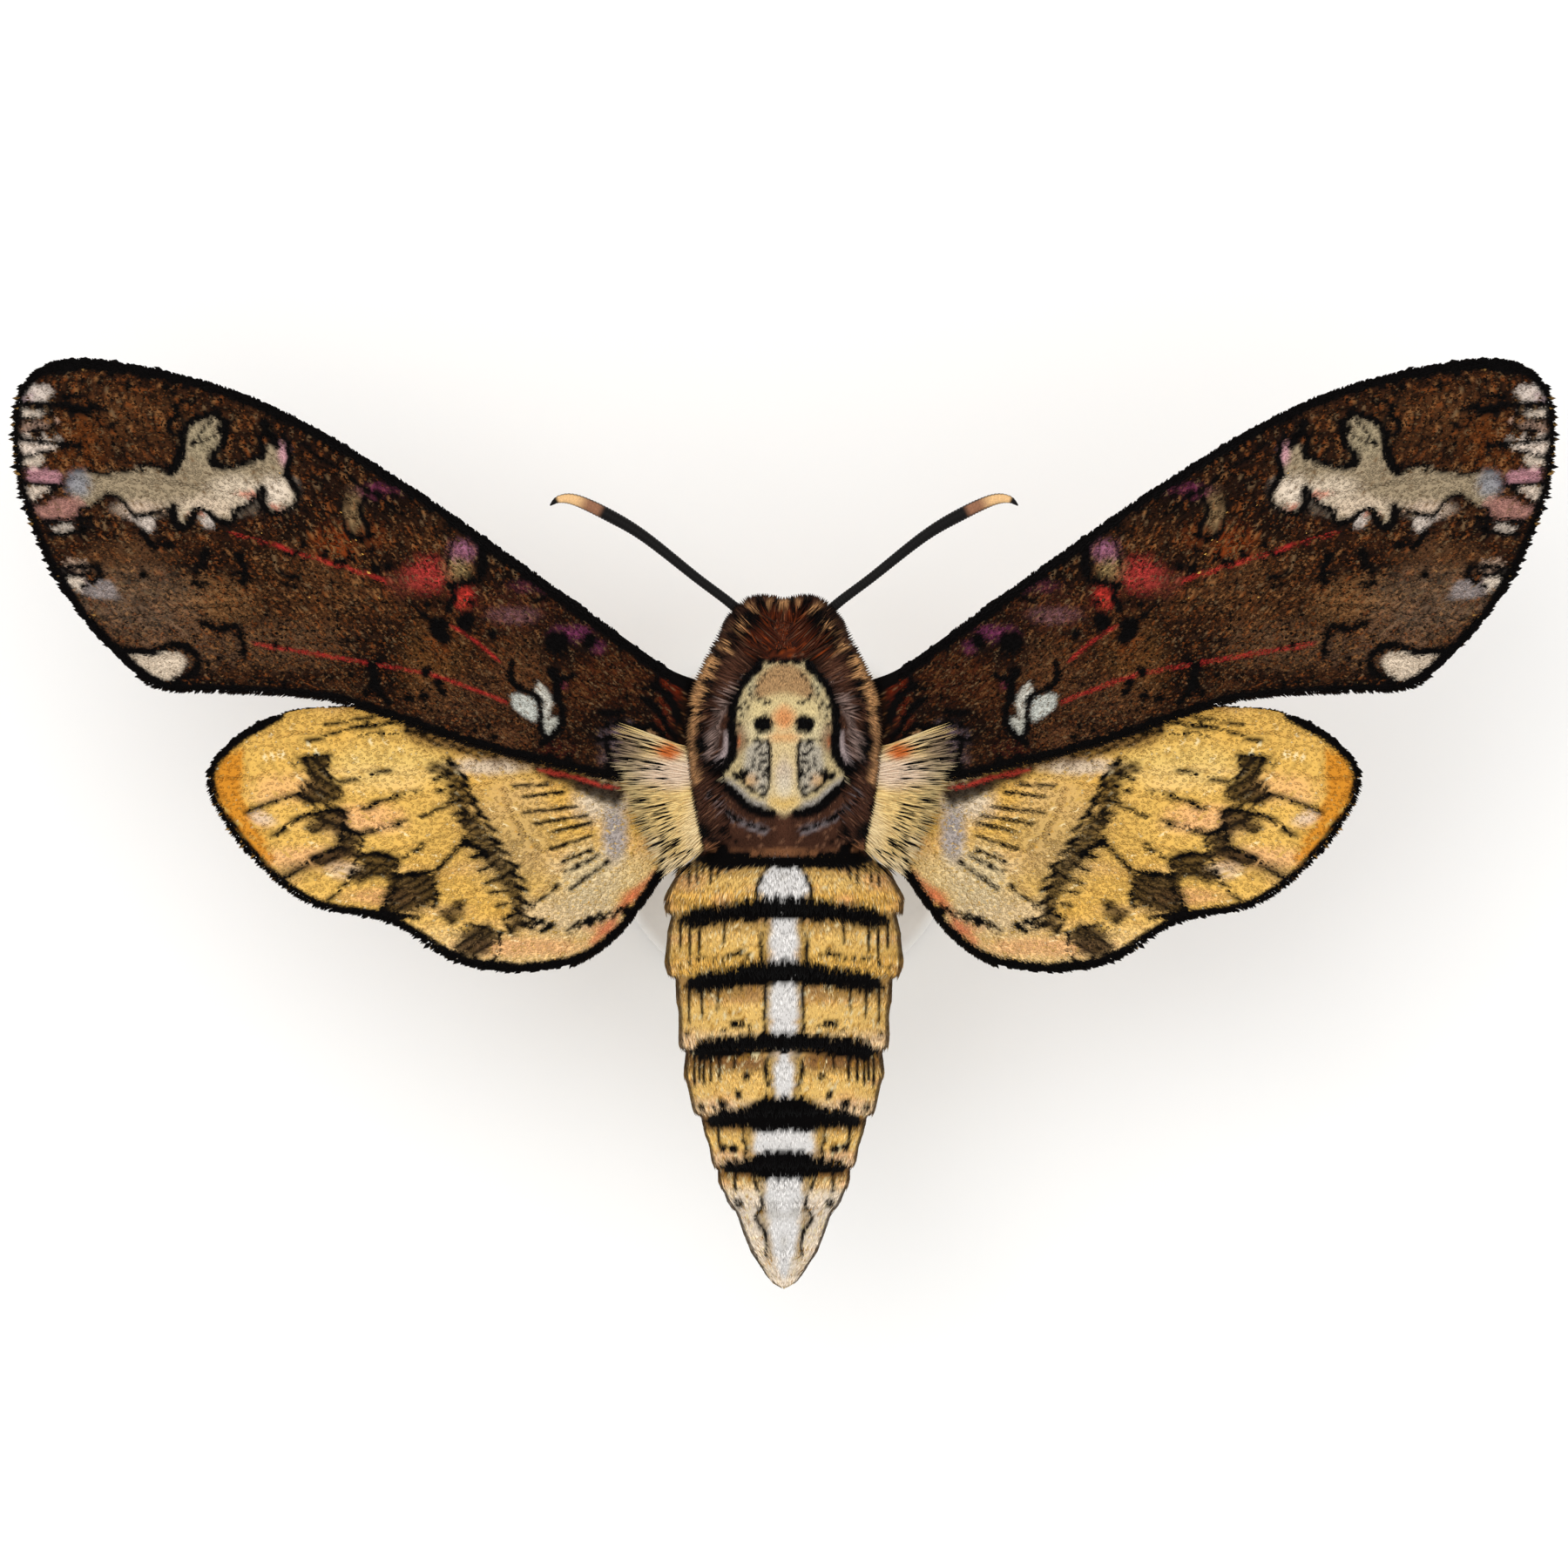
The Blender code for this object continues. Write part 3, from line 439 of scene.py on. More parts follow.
print("forewing lines and sizes of dots:", len(FOREWING_LINES), len(FOREWING_DOTS))

# %% [markdown]
# A few helpers lay such rows on a painter. The forewing's own function calls them in order,
# from the ground colour up to the dots.

# %% Painting the forewing
def to_mm(pixels):
    """Columns and rows on the picture's left half as places out from the middle and along."""
    pixels = np.array(pixels, dtype=float).reshape(-1, 2)
    return np.column_stack((MIDDLE_LINE - pixels[:, 0], AXIS_ROW - pixels[:, 1])) * PIXEL


def add_clouds(paint, clouds, speckle=0.0):
    """Soft spots. A speckled one is thinner on some scales than on others."""
    for code, column, row, wide, long, strength in clouds:
        thinned = strength * (1.0 - speckle * paint.random.random(len(paint.x)))
        paint.spot(code, to_mm((column, row))[0], np.array((wide, long)) * PIXEL, thinned, soft=0.55)


def add_lines(paint, lines, extra=0.0, ragged=0.5):
    """Black lines, each with its width in mm and the places that it runs through."""
    for width, line in lines:
        paint.stroke(BLACK_SCALE, to_mm(line), width + extra, ragged=ragged)


def add_dots(paint, dots, swell=1.0, soft=0.2):
    """Round black dots: each radius in mm with the places of the dots that have it."""
    for radius, places in dots:
        for place in to_mm(places):
            paint.spot(BLACK_SCALE, place, (radius * swell, radius * swell), soft=soft)


def add_ticks(paint, ticks, width):
    """Short black strokes, each from one place to the next."""
    for tick in to_mm(ticks).reshape(-1, 2, 2):
        paint.stroke(BLACK_SCALE, tick, width)


def paint_forewing(x, y, seed):
    paint = Paint(x, y, "#301E13", seed)
    paint.lay("#523822", ease(mottle(x, y, 2.6, 1), 0.35, 0.85) * 0.8)
    paint.lay("#130B07", ease(mottle(x * 0.6, y * 1.5, 1.9, 2), 0.5, 0.9) * 0.75)
    add_clouds(paint, FOREWING_CLOUDS)
    light = np.clip(paint.colour.sum(axis=1) * 3.0, 0.06, 0.55)
    paint.grain("#9A7A50", light * 0.40)
    paint.grain("#86562C", 0.12)
    paint.grain("#0C0705", 0.22)
    paint.colour *= BARK_TONE
    paint.lay("#100604", (1.0 - ease(x, 14.0, 26.0)) * 0.45)
    add_clouds(paint, FOREWING_BLUSHES, speckle=0.75)
    paint.grain("#160C07", 0.14)
    paint.patch("#A08E72", to_mm(CLOUD_PATCH), 0.95)
    add_clouds(paint, CLOUD_TINTS)
    for code, outline in BASE_PATCHES:
        paint.patch(code, to_mm(outline), 0.9)
    for code, outline, strength in EDGE_PATCHES:
        paint.patch(code, to_mm(outline), strength, ragged=0.5)
    paint.grain("#6A5238", 0.05)
    for line in RED_LINES:
        paint.stroke("#B42C28", to_mm(line), 0.16, 0.9)
    add_lines(paint, FOREWING_LINES, 0.06, ragged=0.35)
    add_dots(paint, FOREWING_DOTS, soft=0.25)
    return paint


print("a corner near the forewing's tip in mm:", to_mm(EDGE_PATCHES[0][1])[0].round(1))

# %% [markdown]
# A hindwing is warm yellow with peach between the veins. A brown band with ragged black edges
# runs across its middle, and outside it a chain of brown blocks stands on the veins. Long
# black hair strokes spread from its root.

# %% Hindwing markings
HINDWING_CLOUDS = (
    ("#D29A3A", 262, 900, 18, 60, 0.85), ("#D69C3C", 290, 985, 16, 50, 0.8),
    ("#DDAE58", 300, 845, 60, 18, 0.6), ("#F0B878", 330, 905, 40, 16, 0.7),
    ("#F2B67C", 420, 940, 40, 16, 0.75), ("#F0B47A", 350, 985, 50, 12, 0.65),
    ("#F0B27A", 440, 1030, 40, 10, 0.6), ("#E8C878", 440, 880, 70, 26, 0.6),
    ("#F0B078", 600, 1088, 70, 10, 0.65), ("#D9AE5A", 500, 960, 30, 50, 0.5),
    ("#C8A468", 580, 950, 50, 60, 0.7), ("#B89A66", 600, 990, 40, 40, 0.45),
    ("#E2CFA6", 680, 1010, 40, 40, 0.8), ("#DDC7A0", 650, 1050, 50, 24, 0.7),
    ("#DCC8B0", 560, 880, 40, 10, 0.85), ("#E4D2B8", 690, 920, 30, 26, 0.85),
    ("#A8A4A8", 706, 958, 14, 34, 0.85), ("#F0D6A0", 730, 1000, 24, 20, 0.6),
    ("#E08A5A", 735, 1030, 20, 9, 0.8), ("#E09468", 700, 1066, 26, 7, 0.7),
    ("#E4D2C8", 300, 940, 14, 8, 0.55), ("#E0CCC0", 395, 1000, 20, 9, 0.5))
BAND_LINE = (
    503, 880, 517, 892, 524, 912, 534, 935, 548, 955, 560, 978, 576, 1002, 592, 1026, 596, 1048,
    588, 1064)
BAND_TICKS = (
    512, 874, 526, 880, 524, 884, 534, 894, 530, 898, 539, 906, 536, 910, 546, 918, 541, 922, 551, 932,
    548, 934, 560, 942, 556, 946, 568, 954, 562, 962, 576, 970, 570, 974, 584, 982, 578, 988, 594, 996,
    584, 1002, 600, 1010, 590, 1016, 606, 1024, 594, 1030, 608, 1040, 590, 1046, 606, 1054,
    498, 894, 516, 888, 502, 908, 520, 902, 510, 922, 528, 918, 518, 936, 536, 932, 524, 944, 542, 940,
    530, 968, 548, 962, 540, 984, 558, 978, 550, 1000, 568, 994, 556, 1014, 576, 1008,
    562, 1026, 582, 1022, 570, 1040, 588, 1036, 576, 1056, 590, 1050, 600, 1062, 612, 1054,
    608, 1066, 622, 1058, 620, 1070, 634, 1062, 652, 1070, 664, 1058, 664, 1066, 676, 1054,
    676, 1062, 688, 1050, 690, 1058, 700, 1048, 702, 1054, 711, 1044, 714, 1050, 720, 1042,
    578, 1058, 586, 1074)
CHAIN_BLOCKS = (
    (336, 874, 352, 868, 378, 868, 374, 890, 390, 902, 388, 922, 364, 926, 342, 920, 340, 910, 352, 890,
    344, 880), (348, 950, 366, 932, 384, 924, 398, 930, 394, 954, 372, 958),
    (356, 986, 380, 968, 384, 952, 404, 956, 414, 964, 406, 984, 384, 992),
    (404, 1014, 414, 984, 430, 978, 456, 984, 454, 1006, 440, 1010, 420, 1010),
    (436, 1046, 450, 1010, 470, 1004, 500, 1004, 502, 1026, 490, 1044, 462, 1050),
    (500, 1052, 516, 1036, 532, 1036, 528, 1054, 510, 1062),
    (520, 1090, 532, 1068, 548, 1062, 568, 1066, 566, 1086, 548, 1102, 530, 1100))
CHAIN_LINES = (
    (0.16, (336, 878, 350, 868, 378, 867, 373, 886, 384, 896, 398, 898)),
    (0.16, (352, 872, 352, 892, 340, 912, 356, 920, 362, 928)), (0.22, (280, 932, 310, 922, 338, 914)),
    (0.2, (398, 896, 420, 890, 448, 884)), (0.26, (416, 928, 446, 916, 481, 908)),
    (0.22, (481, 938, 500, 930, 516, 922)), (0.24, (416, 956, 440, 950, 468, 942)),
    (0.24, (462, 984, 478, 976, 484, 970)), (0.3, (312, 962, 340, 940, 370, 930, 396, 932, 392, 952)),
    (0.3, (328, 1008, 360, 985, 388, 972, 392, 954, 416, 962, 408, 982)),
    (0.26, (376, 1034, 400, 1010, 412, 982, 454, 986, 452, 1004)),
    (0.3, (450, 1006, 496, 1000, 520, 978, 532, 962)),
    (0.22, (496, 1000, 496, 1016, 502, 1026, 496, 1042)), (0.26, (432, 1052, 452, 1020)),
    (0.3, (440, 1048, 478, 1054)), (0.18, (520, 1072, 536, 1062, 560, 1066)),
    (0.2, (580, 1062, 572, 1076, 574, 1092, 560, 1104)), (0.34, (530, 970, 545, 972, 556, 982)))
ROOT_STREAKS = (
    588, 902, 626, 901, 600, 915, 645, 909, 600, 933, 661, 926, 612, 946, 673, 936, 633, 955, 677, 945,
    631, 975, 678, 960, 644, 989, 678, 976, 648, 1002, 686, 982, 654, 1021, 698, 989,
    612, 1040, 640, 1016, 350, 852, 420, 830, 400, 836, 460, 828, 412, 843, 500, 840,
    372, 832, 430, 822)
OCHRE_MARGIN = (245, 892, 262, 866, 279, 862, 276, 911, 292, 950, 316, 988, 296, 990, 264, 946, 248, 915)
RED_EDGE = (618, 884, 660, 892, 690, 902, 708, 904)
RED_HEEL = (756, 1003, 736, 1018, 718, 1036, 708, 1048, 696, 1066, 680, 1082)
PAINTED_FOREWING_SHADOW = (470, 838, 516, 855, 560, 862, 612, 876, 660, 892, 710, 908)
BAND_BROWN = "#32200F"
HATCH_BELOW = 0.55
BLOCK_SMEAR = (330, 1002, 362, 992, 396, 978)
PAINTED_ROOT_SHADOW = (
    612, 881, 651, 887, 684, 896, 704, 903, 716, 908, 712, 926, 694, 922, 672, 913, 650, 903, 629, 893)


def paint_hindwing(x, y, seed):
    paint = Paint(x, y, "#E6B75C", seed)
    streaks = mottle(x * 0.35 + y * 0.1, y * 1.1, 1.1, 5)
    paint.lay("#F4C47C", ease(streaks, 0.45, 0.9) * 0.75)
    paint.lay("#DFA94A", ease(mottle(x, y, 3.2, 6), 0.5, 0.9) * 0.6)
    paint.lay("#FFDA9C", (1.0 - ease(y, -9.0, -6.0)) * 0.75)
    add_clouds(paint, HINDWING_CLOUDS)
    paint.patch("#D08422", to_mm(OCHRE_MARGIN), 0.85, soft=0.2)
    paint.grain("#C9A050", 0.10)
    paint.grain("#F6E2B0", 0.015)
    paint.stroke("#E2744E", to_mm(RED_HEEL), 0.50, 0.7, soft=0.3)
    # Painted shadow: a soft brown band on the hindwing along the forewing's rear edge.
    paint.stroke("#5A3A22", to_mm(PAINTED_FOREWING_SHADOW), 1.3, 0.75, soft=0.5)
    paint.stroke(BAND_BROWN, to_mm(BAND_LINE), 1.35, 0.74, soft=0.40)
    paint.stroke(BAND_BROWN, to_mm(BLOCK_SMEAR), 1.1, 0.60, soft=0.45)
    for block in CHAIN_BLOCKS:
        paint.patch(BAND_BROWN, to_mm(block), 0.88, soft=0.30, ragged=0.5)
    hatch = ease(np.sin((y + x * 0.70) * 9.0 + mottle(x, y, 1.6, 8) * 2.0), -0.3, 0.4)
    dark = paint.colour.sum(axis=1) < HATCH_BELOW
    paint.lay(BLACK_SCALE, hatch * dark * 0.9)
    # Painted shadow: a dark wedge on the hindwing under the forewing's rear edge, near the root.
    paint.patch("#1E150E", to_mm(PAINTED_ROOT_SHADOW), 0.90, soft=0.35)
    paint.stroke("#B0382C", to_mm(RED_EDGE), 0.28, 0.9)
    add_ticks(paint, BAND_TICKS, 0.36)
    add_lines(paint, CHAIN_LINES, 0.08)
    add_ticks(paint, ROOT_STREAKS, 0.28)
    return paint


print("hindwing blocks, lines and ticks:", len(CHAIN_BLOCKS), len(CHAIN_LINES), len(BAND_TICKS) // 4)

# %% [markdown]
# Underneath, both wings of this species are yellow with one or two dark bands, and the forewing
# is dusky towards its edge. The bands follow the outer margin, so they are drawn by how far out
# along the wing a place lies.

# %% Undersides
def paint_under(x, y, share, seed, dusk):
    """The underside by the share of the way out along the wing, with a dusky margin."""
    paint = Paint(x, y, "#D8A652", seed)
    paint.lay("#C08A42", ease(mottle(x, y, 2.4, 11), 0.4, 0.9) * 0.6)
    wobble = (mottle(x, y, 2.2, 12) - 0.5) * 0.03
    for place, width in ((0.62, 0.016), (0.76, 0.024)):
        paint.lay("#4A3222", 1.0 - ease(np.abs(share - place + wobble), width * 0.6, width * 1.4))
    paint.lay("#5A4028", ease(share, 0.90 - dusk, 1.0) * 0.7)
    paint.grain("#B58A48", 0.15)
    paint.grain("#3C2A1C", 0.05 + 0.15 * dusk)
    return paint

# %% [markdown]
# The thorax carries the mark that gives the moth its name: a pale patch like a skull, with two
# dark round spots, framed by a black line, on chocolate-brown hair. The abdomen is golden with
# black belts at the rear of each ring and a row of white patches down its middle. Underneath
# the animal is plain: tan hair on the thorax and pale yellow rings.

# %% Skull and thorax markings
SKULL = (
    908, 759, 890, 759, 875, 760, 868, 768, 855, 780, 847, 793, 842, 811, 842, 839, 842, 859, 837, 874,
    827, 888, 829, 900, 843, 911, 857, 923, 870, 930, 884, 931, 908, 930, 909, 922, 909, 846, 909, 765)
SKULL_RIM = (
    873, 757, 868, 768, 855, 780, 847, 793, 841, 811, 841, 839, 842, 859, 837, 874, 825, 888, 827, 898,
    842, 911, 855, 923, 868, 931, 886, 934)
SKULL_SHAPES = (
    ("#B98A5C", (908, 764, 890, 764, 876, 774, 866, 786, 864, 798, 884, 802, 908, 803), 0.8),
    ("#F6DEA2", (908, 798, 882, 800, 864, 808, 861, 832, 870, 846, 890, 849, 908, 849), 0.85),
    ("#F6DAA2", (908, 840, 886, 846, 884, 900, 880, 920, 890, 930, 908, 931), 0.85),
    ("#C8BEAC", (883, 851, 862, 852, 854, 878, 862, 900, 880, 914, 884, 880), 0.9),
    ("#8A6046", (845, 826, 856, 832, 860, 848, 854, 860, 845, 868), 0.75),
    ("#A2A0A4", (834, 892, 846, 900, 862, 915, 880, 922, 884, 929, 868, 928, 846, 911, 831, 899), 0.75))
SKULL_TINTS = (
    ("#F09A5A", 900, 824, 12, 13, 0.85), ("#F2AC68", 900, 846, 18, 5, 0.7),
    ("#BDB492", 862, 786, 6, 12, 0.6), ("#D9C79A", 852, 812, 6, 14, 0.6),
    ("#F0C468", 900, 921, 16, 8, 0.75), ("#DCCAB8", 900, 890, 10, 20, 0.75),
    ("#D06A38", 848, 850, 2.5, 6, 0.6), ("#E8B070", 862, 896, 9, 7, 0.55),
    ("#FBEBC0", 871, 838, 15, 13, 0.45), ("#FBEFD2", 900, 905, 10, 12, 0.45),
    ("#C9B48A", 880, 762, 8, 4, 0.6))
SKULL_EYE = (877, 831)
SKULL_EYE_SIZE = (0.76, 0.66)
SKULL_LINES = (
    (0.28, (882, 850, 885, 862, 884, 880, 882, 904, 877, 913, 866, 908, 856, 900, 846, 890)),
    (0.3, (843, 888, 852, 894, 858, 886)), (0.18, (882, 850, 872, 854, 864, 848)),
    (0.34, (812, 912, 822, 922, 834, 932, 846, 940)), (0.22, (846, 940, 862, 947, 880, 952)),
    (0.34, (788, 896, 794, 912, 800, 930)), (0.46, (798, 945, 806, 952, 815, 962)),
    (0.34, (793, 812, 790, 836, 789, 872)), (0.46, (807, 868, 812, 880, 822, 880)),
    (0.28, (838, 728, 846, 714, 852, 706)))
BODY_STREAKS = (
    ("#A88E84", (849, 779, 838, 794, 827, 818, 820, 842, 816, 864), 0.66, 0.72),
    ("#D2BEBC", (838, 843, 835, 860, 828, 876), 0.62, 0.75),
    ("#948A8C", (814, 912, 822, 922, 838, 936, 852, 944, 878, 953), 0.42, 0.8),
    ("#D8A06A", (842, 730, 849, 714, 860, 702, 874, 695, 890, 693, 910, 693), 0.55, 0.9),
    ("#DCA46C", (794, 834, 799, 803, 810, 776, 827, 748, 843, 728), 0.6, 0.9),
    ("#D09A68", (796, 826, 791, 848, 793, 872, 798, 896), 0.75, 0.8),
    ("#A87048", (810, 972, 830, 978, 856, 980, 885, 978, 912, 978), 0.45, 0.55))
BODY_DOTS = (
    (0.11, (862, 790, 870, 796, 884, 806)), (0.12, (846, 966, 862, 796, 868, 788, 874, 780, 880, 774,
    864, 804, 872, 802, 878, 806, 852, 822, 849, 832, 860, 812, 862, 886, 878, 866, 866, 880, 858,
    848)), (0.13, (856, 806, 880, 882, 874, 876)), (0.14, (837, 962, 866, 872, 870, 894)),
    (0.15, (868, 860, 874, 866, 878, 874, 872, 882, 878, 890, 876, 856, 876, 902)),
    (0.16, (802, 819, 814, 888, 850, 812)), (0.18, (889, 758)),
    (0.2, (808, 803, 884, 759, 897, 759, 870, 850, 852, 886)), (0.22, (846, 892)),
    (0.26, (824, 759, 808, 841, 821, 967)), (0.28, (850, 709, 874, 711, 816, 813, 831, 953)),
    (0.3, (805, 834, 804, 862)), (0.32, (874, 693, 813, 796, 830, 974)),
    (0.34, (856, 704, 880, 698, 889, 694, 858, 720, 850, 728, 820, 767)),
    (0.36, (866, 706, 864, 714, 840, 740, 814, 783, 810, 956)), (0.38, (844, 732)),
    (0.4, (828, 752, 812, 876, 820, 881, 801, 951)), (0.46, (806, 855)))

print("skull shapes, lines and streaks:", len(SKULL_SHAPES), len(SKULL_LINES), len(BODY_STREAKS))

# %% [markdown]
# The abdomen's belts, patches, strokes and dots are kept in the same way. The ends of its rings
# are in millimetres along the body.

# %% Abdomen markings
# Each belt: picture row at the middle and at its ends, half length, thickness there and there
BELTS = (
    (989, 987, 97, 14, 22), (1043, 1058, 122, 26, 23), (1116, 1134, 115, 28, 25),
    (1197, 1209, 107, 22, 27), (1280, 1290, 90, 40, 21), (1339, 1343, 73, 34, 19))
WHITE_PATCHES = (
    (908, 992, 884, 993, 877, 1006, 872, 1022, 878, 1034, 908, 1036),
    (908, 1052, 888, 1054, 885, 1078, 887, 1102, 908, 1106),
    (908, 1126, 888, 1128, 886, 1156, 887, 1184, 908, 1190),
    (908, 1204, 893, 1207, 891, 1236, 893, 1262, 908, 1268),
    (908, 1296, 868, 1297, 863, 1310, 868, 1326, 908, 1328),
    (908, 1352, 880, 1354, 880, 1380, 886, 1420, 890, 1450, 896, 1472, 908, 1478))
PATCH_EDGES = (
    (881, 994, 874, 1008, 868, 1024, 872, 1036),
    (878, 1058, 877, 1068, 872, 1077, 875, 1088, 874, 1098, 877, 1106),
    (879, 1132, 878, 1160, 876, 1174, 881, 1190), (882, 1210, 879, 1229, 882, 1243, 880, 1262),
    (854, 1298, 853, 1310, 858, 1320, 855, 1328),
    (864, 1352, 869, 1366, 876, 1386, 867, 1401, 877, 1415, 881, 1434, 879, 1444))
# Each pointed stroke: column, and the rows where it starts and ends
RING_TICKS = (
    (783, 982, 1000), (791, 982, 1017), (800, 984, 1014), (807, 984, 1002), (816, 986, 1013),
    (824, 986, 1008), (781, 1062, 1089), (792, 1062, 1096), (803, 1060, 1093), (832, 1060, 1084),
    (791, 1138, 1174), (806, 1134, 1167), (824, 1130, 1161), (797, 1216, 1249), (803, 1216, 1241),
    (808, 1216, 1246), (816, 1214, 1243), (826, 1212, 1239), (843, 1210, 1226), (825, 1296, 1314),
    (844, 1348, 1370))
RING_DOTS = (
    (0.14, (810, 1101, 830, 1101, 820, 1274)),
    (0.16, (780, 1112, 791, 1106, 820, 1102, 836, 1098, 858, 1096, 861, 1179, 832, 1184, 846, 1255)),
    (0.18, (802, 1102, 789, 1188, 827, 1266)), (0.2, (842, 1096, 850, 1094)),
    (0.22, (843, 1176, 852, 1176)), (0.24, (857, 1237, 849, 1259, 805, 1273)),
    (0.28, (830, 1319, 842, 1321)), (0.3, (830, 1269, 848, 1384)))
RING_ENDS = (-2.25, -6.0, -10.7, -16.0, -20.7, -24.4, -27.3, -33.45)

print("belts and white patches:", len(BELTS), len(WHITE_PATCHES))

# %% [markdown]
# The thorax is painted from its ground colour up to the skull and its dots, and the abdomen
# from its golden rings up to the black belts.

# %% Painting the thorax and abdomen
DOT_SWELL = 1.2


def picture_row(row):
    return (AXIS_ROW - row) * PIXEL


def paint_thorax(paint, x, y):
    paint.lay("#5E3A2A", ease(mottle(x, y, 1.6, 21), 0.4, 0.9) * 0.7)
    crown = 1.0 - ease(np.hypot(x / 3.4, (y - picture_row(726)) / 2.6), 0.5, 1.2)
    paint.lay("#5A2410", crown * 0.85)
    paint.grain("#8A3C16", 0.22 * crown)
    paint.grain("#1C0D07", 0.26 * crown)
    paint.spot("#382016", (5.4, 5.4), (1.2, 5.6), 0.5, soft=0.6)
    paint.grain("#7C5640", 0.08)
    for code, line, width, strength in BODY_STREAKS:
        paint.stroke(code, to_mm(line), width, strength, soft=0.16)
    paint.patch("#D9C391", to_mm(SKULL), 0.97, soft=0.08, ragged=0.2)
    for code, outline, strength in SKULL_SHAPES:
        paint.patch(code, to_mm(outline), strength, soft=0.28, ragged=0.2)
    add_clouds(paint, SKULL_TINTS)
    paint.stroke(BLACK_SCALE, to_mm(SKULL_RIM), 0.72, ragged=0.2)
    paint.spot(BLACK_SCALE, to_mm(SKULL_EYE)[0], SKULL_EYE_SIZE, soft=0.10)
    add_lines(paint, SKULL_LINES)
    add_dots(paint, BODY_DOTS, DOT_SWELL)


def paint_abdomen(paint, x, y):
    on_abdomen = 1.0 - ease(y, -2.75, -2.35)
    paint.lay("#FDCF78", on_abdomen)
    ring = np.searchsorted(-np.array(RING_ENDS), -y) - 1
    ring = np.clip(ring, 0, len(RING_ENDS) - 2)
    front = np.array(RING_ENDS)[ring]
    share = (front - y) / (front - np.array(RING_ENDS)[ring + 1])
    paint.lay("#E2AC44", on_abdomen * ease(share, 0.45, 0.80) * 0.60 * (1.0 - ease(-y, 11.0, 14.0)))
    paint.lay("#FABC80", on_abdomen * ease(mottle(x * 0.5, y * 1.5, 1.1, 22), 0.5, 0.9) * 0.75)
    paint.lay("#84582E", on_abdomen * (1.0 - ease(share, 0.22, 0.44)) * ease(x, 0.8, 2.0)
              * np.interp(-y, (5.0, 12.0, 16.5), (0.50, 0.70, 0.90)))
    paint.lay("#F2D2B0", on_abdomen * ease(share, 0.68, 0.88) * ease(-y, 11.0, 13.0) * 0.75)
    paint.lay("#FFEFDA", on_abdomen * ease(-y, 25.2, 26.6) * 0.90)
    paint.grain("#FCE6B0", 0.10 * on_abdomen)
    paint.grain("#C08C38", 0.08 * on_abdomen)
    for patch, edge in zip(WHITE_PATCHES, PATCH_EDGES):
        paint.stroke("#96763C", to_mm(edge) - np.array((0.4, 0.0)), 0.7, 0.6, soft=0.25)
        paint.patch("#F4F1EE", to_mm(patch), 0.97, soft=0.30, ragged=0.4)
        paint.stroke(BLACK_SCALE, to_mm(edge), 0.24)
    paint.lay("#A8A090", on_abdomen * (x < 1.2) * ease(mottle(x, y, 0.9, 23), 0.72, 0.98) * 0.5)
    for at_middle, at_ends, reach, middle_thickness, end_thickness in BELTS:
        reach = reach * PIXEL
        along = np.clip(x / reach, 0.0, 1.0)
        centre = picture_row(at_middle + (at_ends - at_middle) * along ** 1.6)
        scallop = 0.14 * np.sin(x * 8.5 + at_middle) + paint.ragged * 0.3
        thickness = end_thickness + (middle_thickness - end_thickness) * (1.0 - ease(along, 0.25, 0.6))
        half = thickness * PIXEL / 2.0 * (1.0 - 0.7 * ease(along, 0.86, 1.0))
        belt = 1.0 - ease(np.abs(y - centre) + scallop * 0.6, half - 0.06, half + 0.08)
        paint.lay(BLACK_SCALE, belt * (x < reach + 0.1))
    for column, row_from, row_to in RING_TICKS:
        paint.stroke(BLACK_SCALE, to_mm((column, row_from, column, row_to)), 0.22, ragged=0.2)
    add_dots(paint, RING_DOTS, DOT_SWELL)


print("crown and tail in mm along the body:", round(picture_row(693), 1), round(picture_row(1478), 1))

# %% [markdown]
# The flanks, the belly and the underside of the thorax come last, by how high on the body a
# place lies. Darker and lighter strands break up their plain hair.

# %% Painting the whole body
SIDE_HAIR = "#553626"
BELLY_HAIR = "#C79C62"
STRAND = 0.42
STRAND_STRETCH = 0.30
SIDE_LINE = 0.54


def paint_body(x, y, top, seed):
    """The whole body. top runs from 0 under the belly to 1 on the back, and above it on the hood."""
    x = np.abs(x)
    paint = Paint(x, y, "#452A1E", seed)
    paint_thorax(paint, x, y)
    paint_abdomen(paint, x, y)
    flank = 1.0 - ease(top, 0.30, 0.52)
    in_front = ease(y, -2.4, -1.2)
    face = ease(y, 14.0, 15.2)
    paint.lay(SIDE_HAIR, in_front * (1.0 - ease(top - 0.35 * face, 0.58, 0.80)))
    wave = 0.16 * (mottle(y, top * 9.0, 1.2, 24) - 0.5)
    under = in_front * (1.0 - ease(top + wave, 0.30, 0.52))
    belts = ease(np.cos((np.interp(-y, -np.array(RING_ENDS), np.arange(8.0)) - 0.02) * 2 * math.pi),
                 0.80, 0.97)
    paint.lay(BELLY_HAIR, under * (1.0 - 0.5 * ease(y, 9.0, 13.0)))
    paint.lay("#EBD49C", flank * ease(-y, 0.6, 4.2))
    reach = 0.05 + 0.06 * ease(-y, 24.0, 31.0)
    side_line = 1.0 - ease(np.abs(top - SIDE_LINE), reach, reach + 0.06)
    paint.lay("#2E1C10", side_line * ease(-y, 2.4, 3.4) * 0.85)
    paint.lay("#4A3018", flank * belts * ease(-y, 3.5, 4.5) * ease(top, 0.10, 0.24) * 0.85)
    paint.lay("#8A6030", flank * ease(-y, 2.6, 3.2) * (1.0 - ease(top, 0.02, 0.10)) * 0.35)
    strands = mottle(y * STRAND_STRETCH, top * 12.0 + x, STRAND, 25) - 0.5
    low = 1.0 - ease(top - 0.35 * face, 0.50, 0.80)
    paint.colour *= (1.0 + 0.65 * strands * low)[:, None]
    return paint


print("hair of the sides and belly:", SIDE_HAIR, BELLY_HAIR)

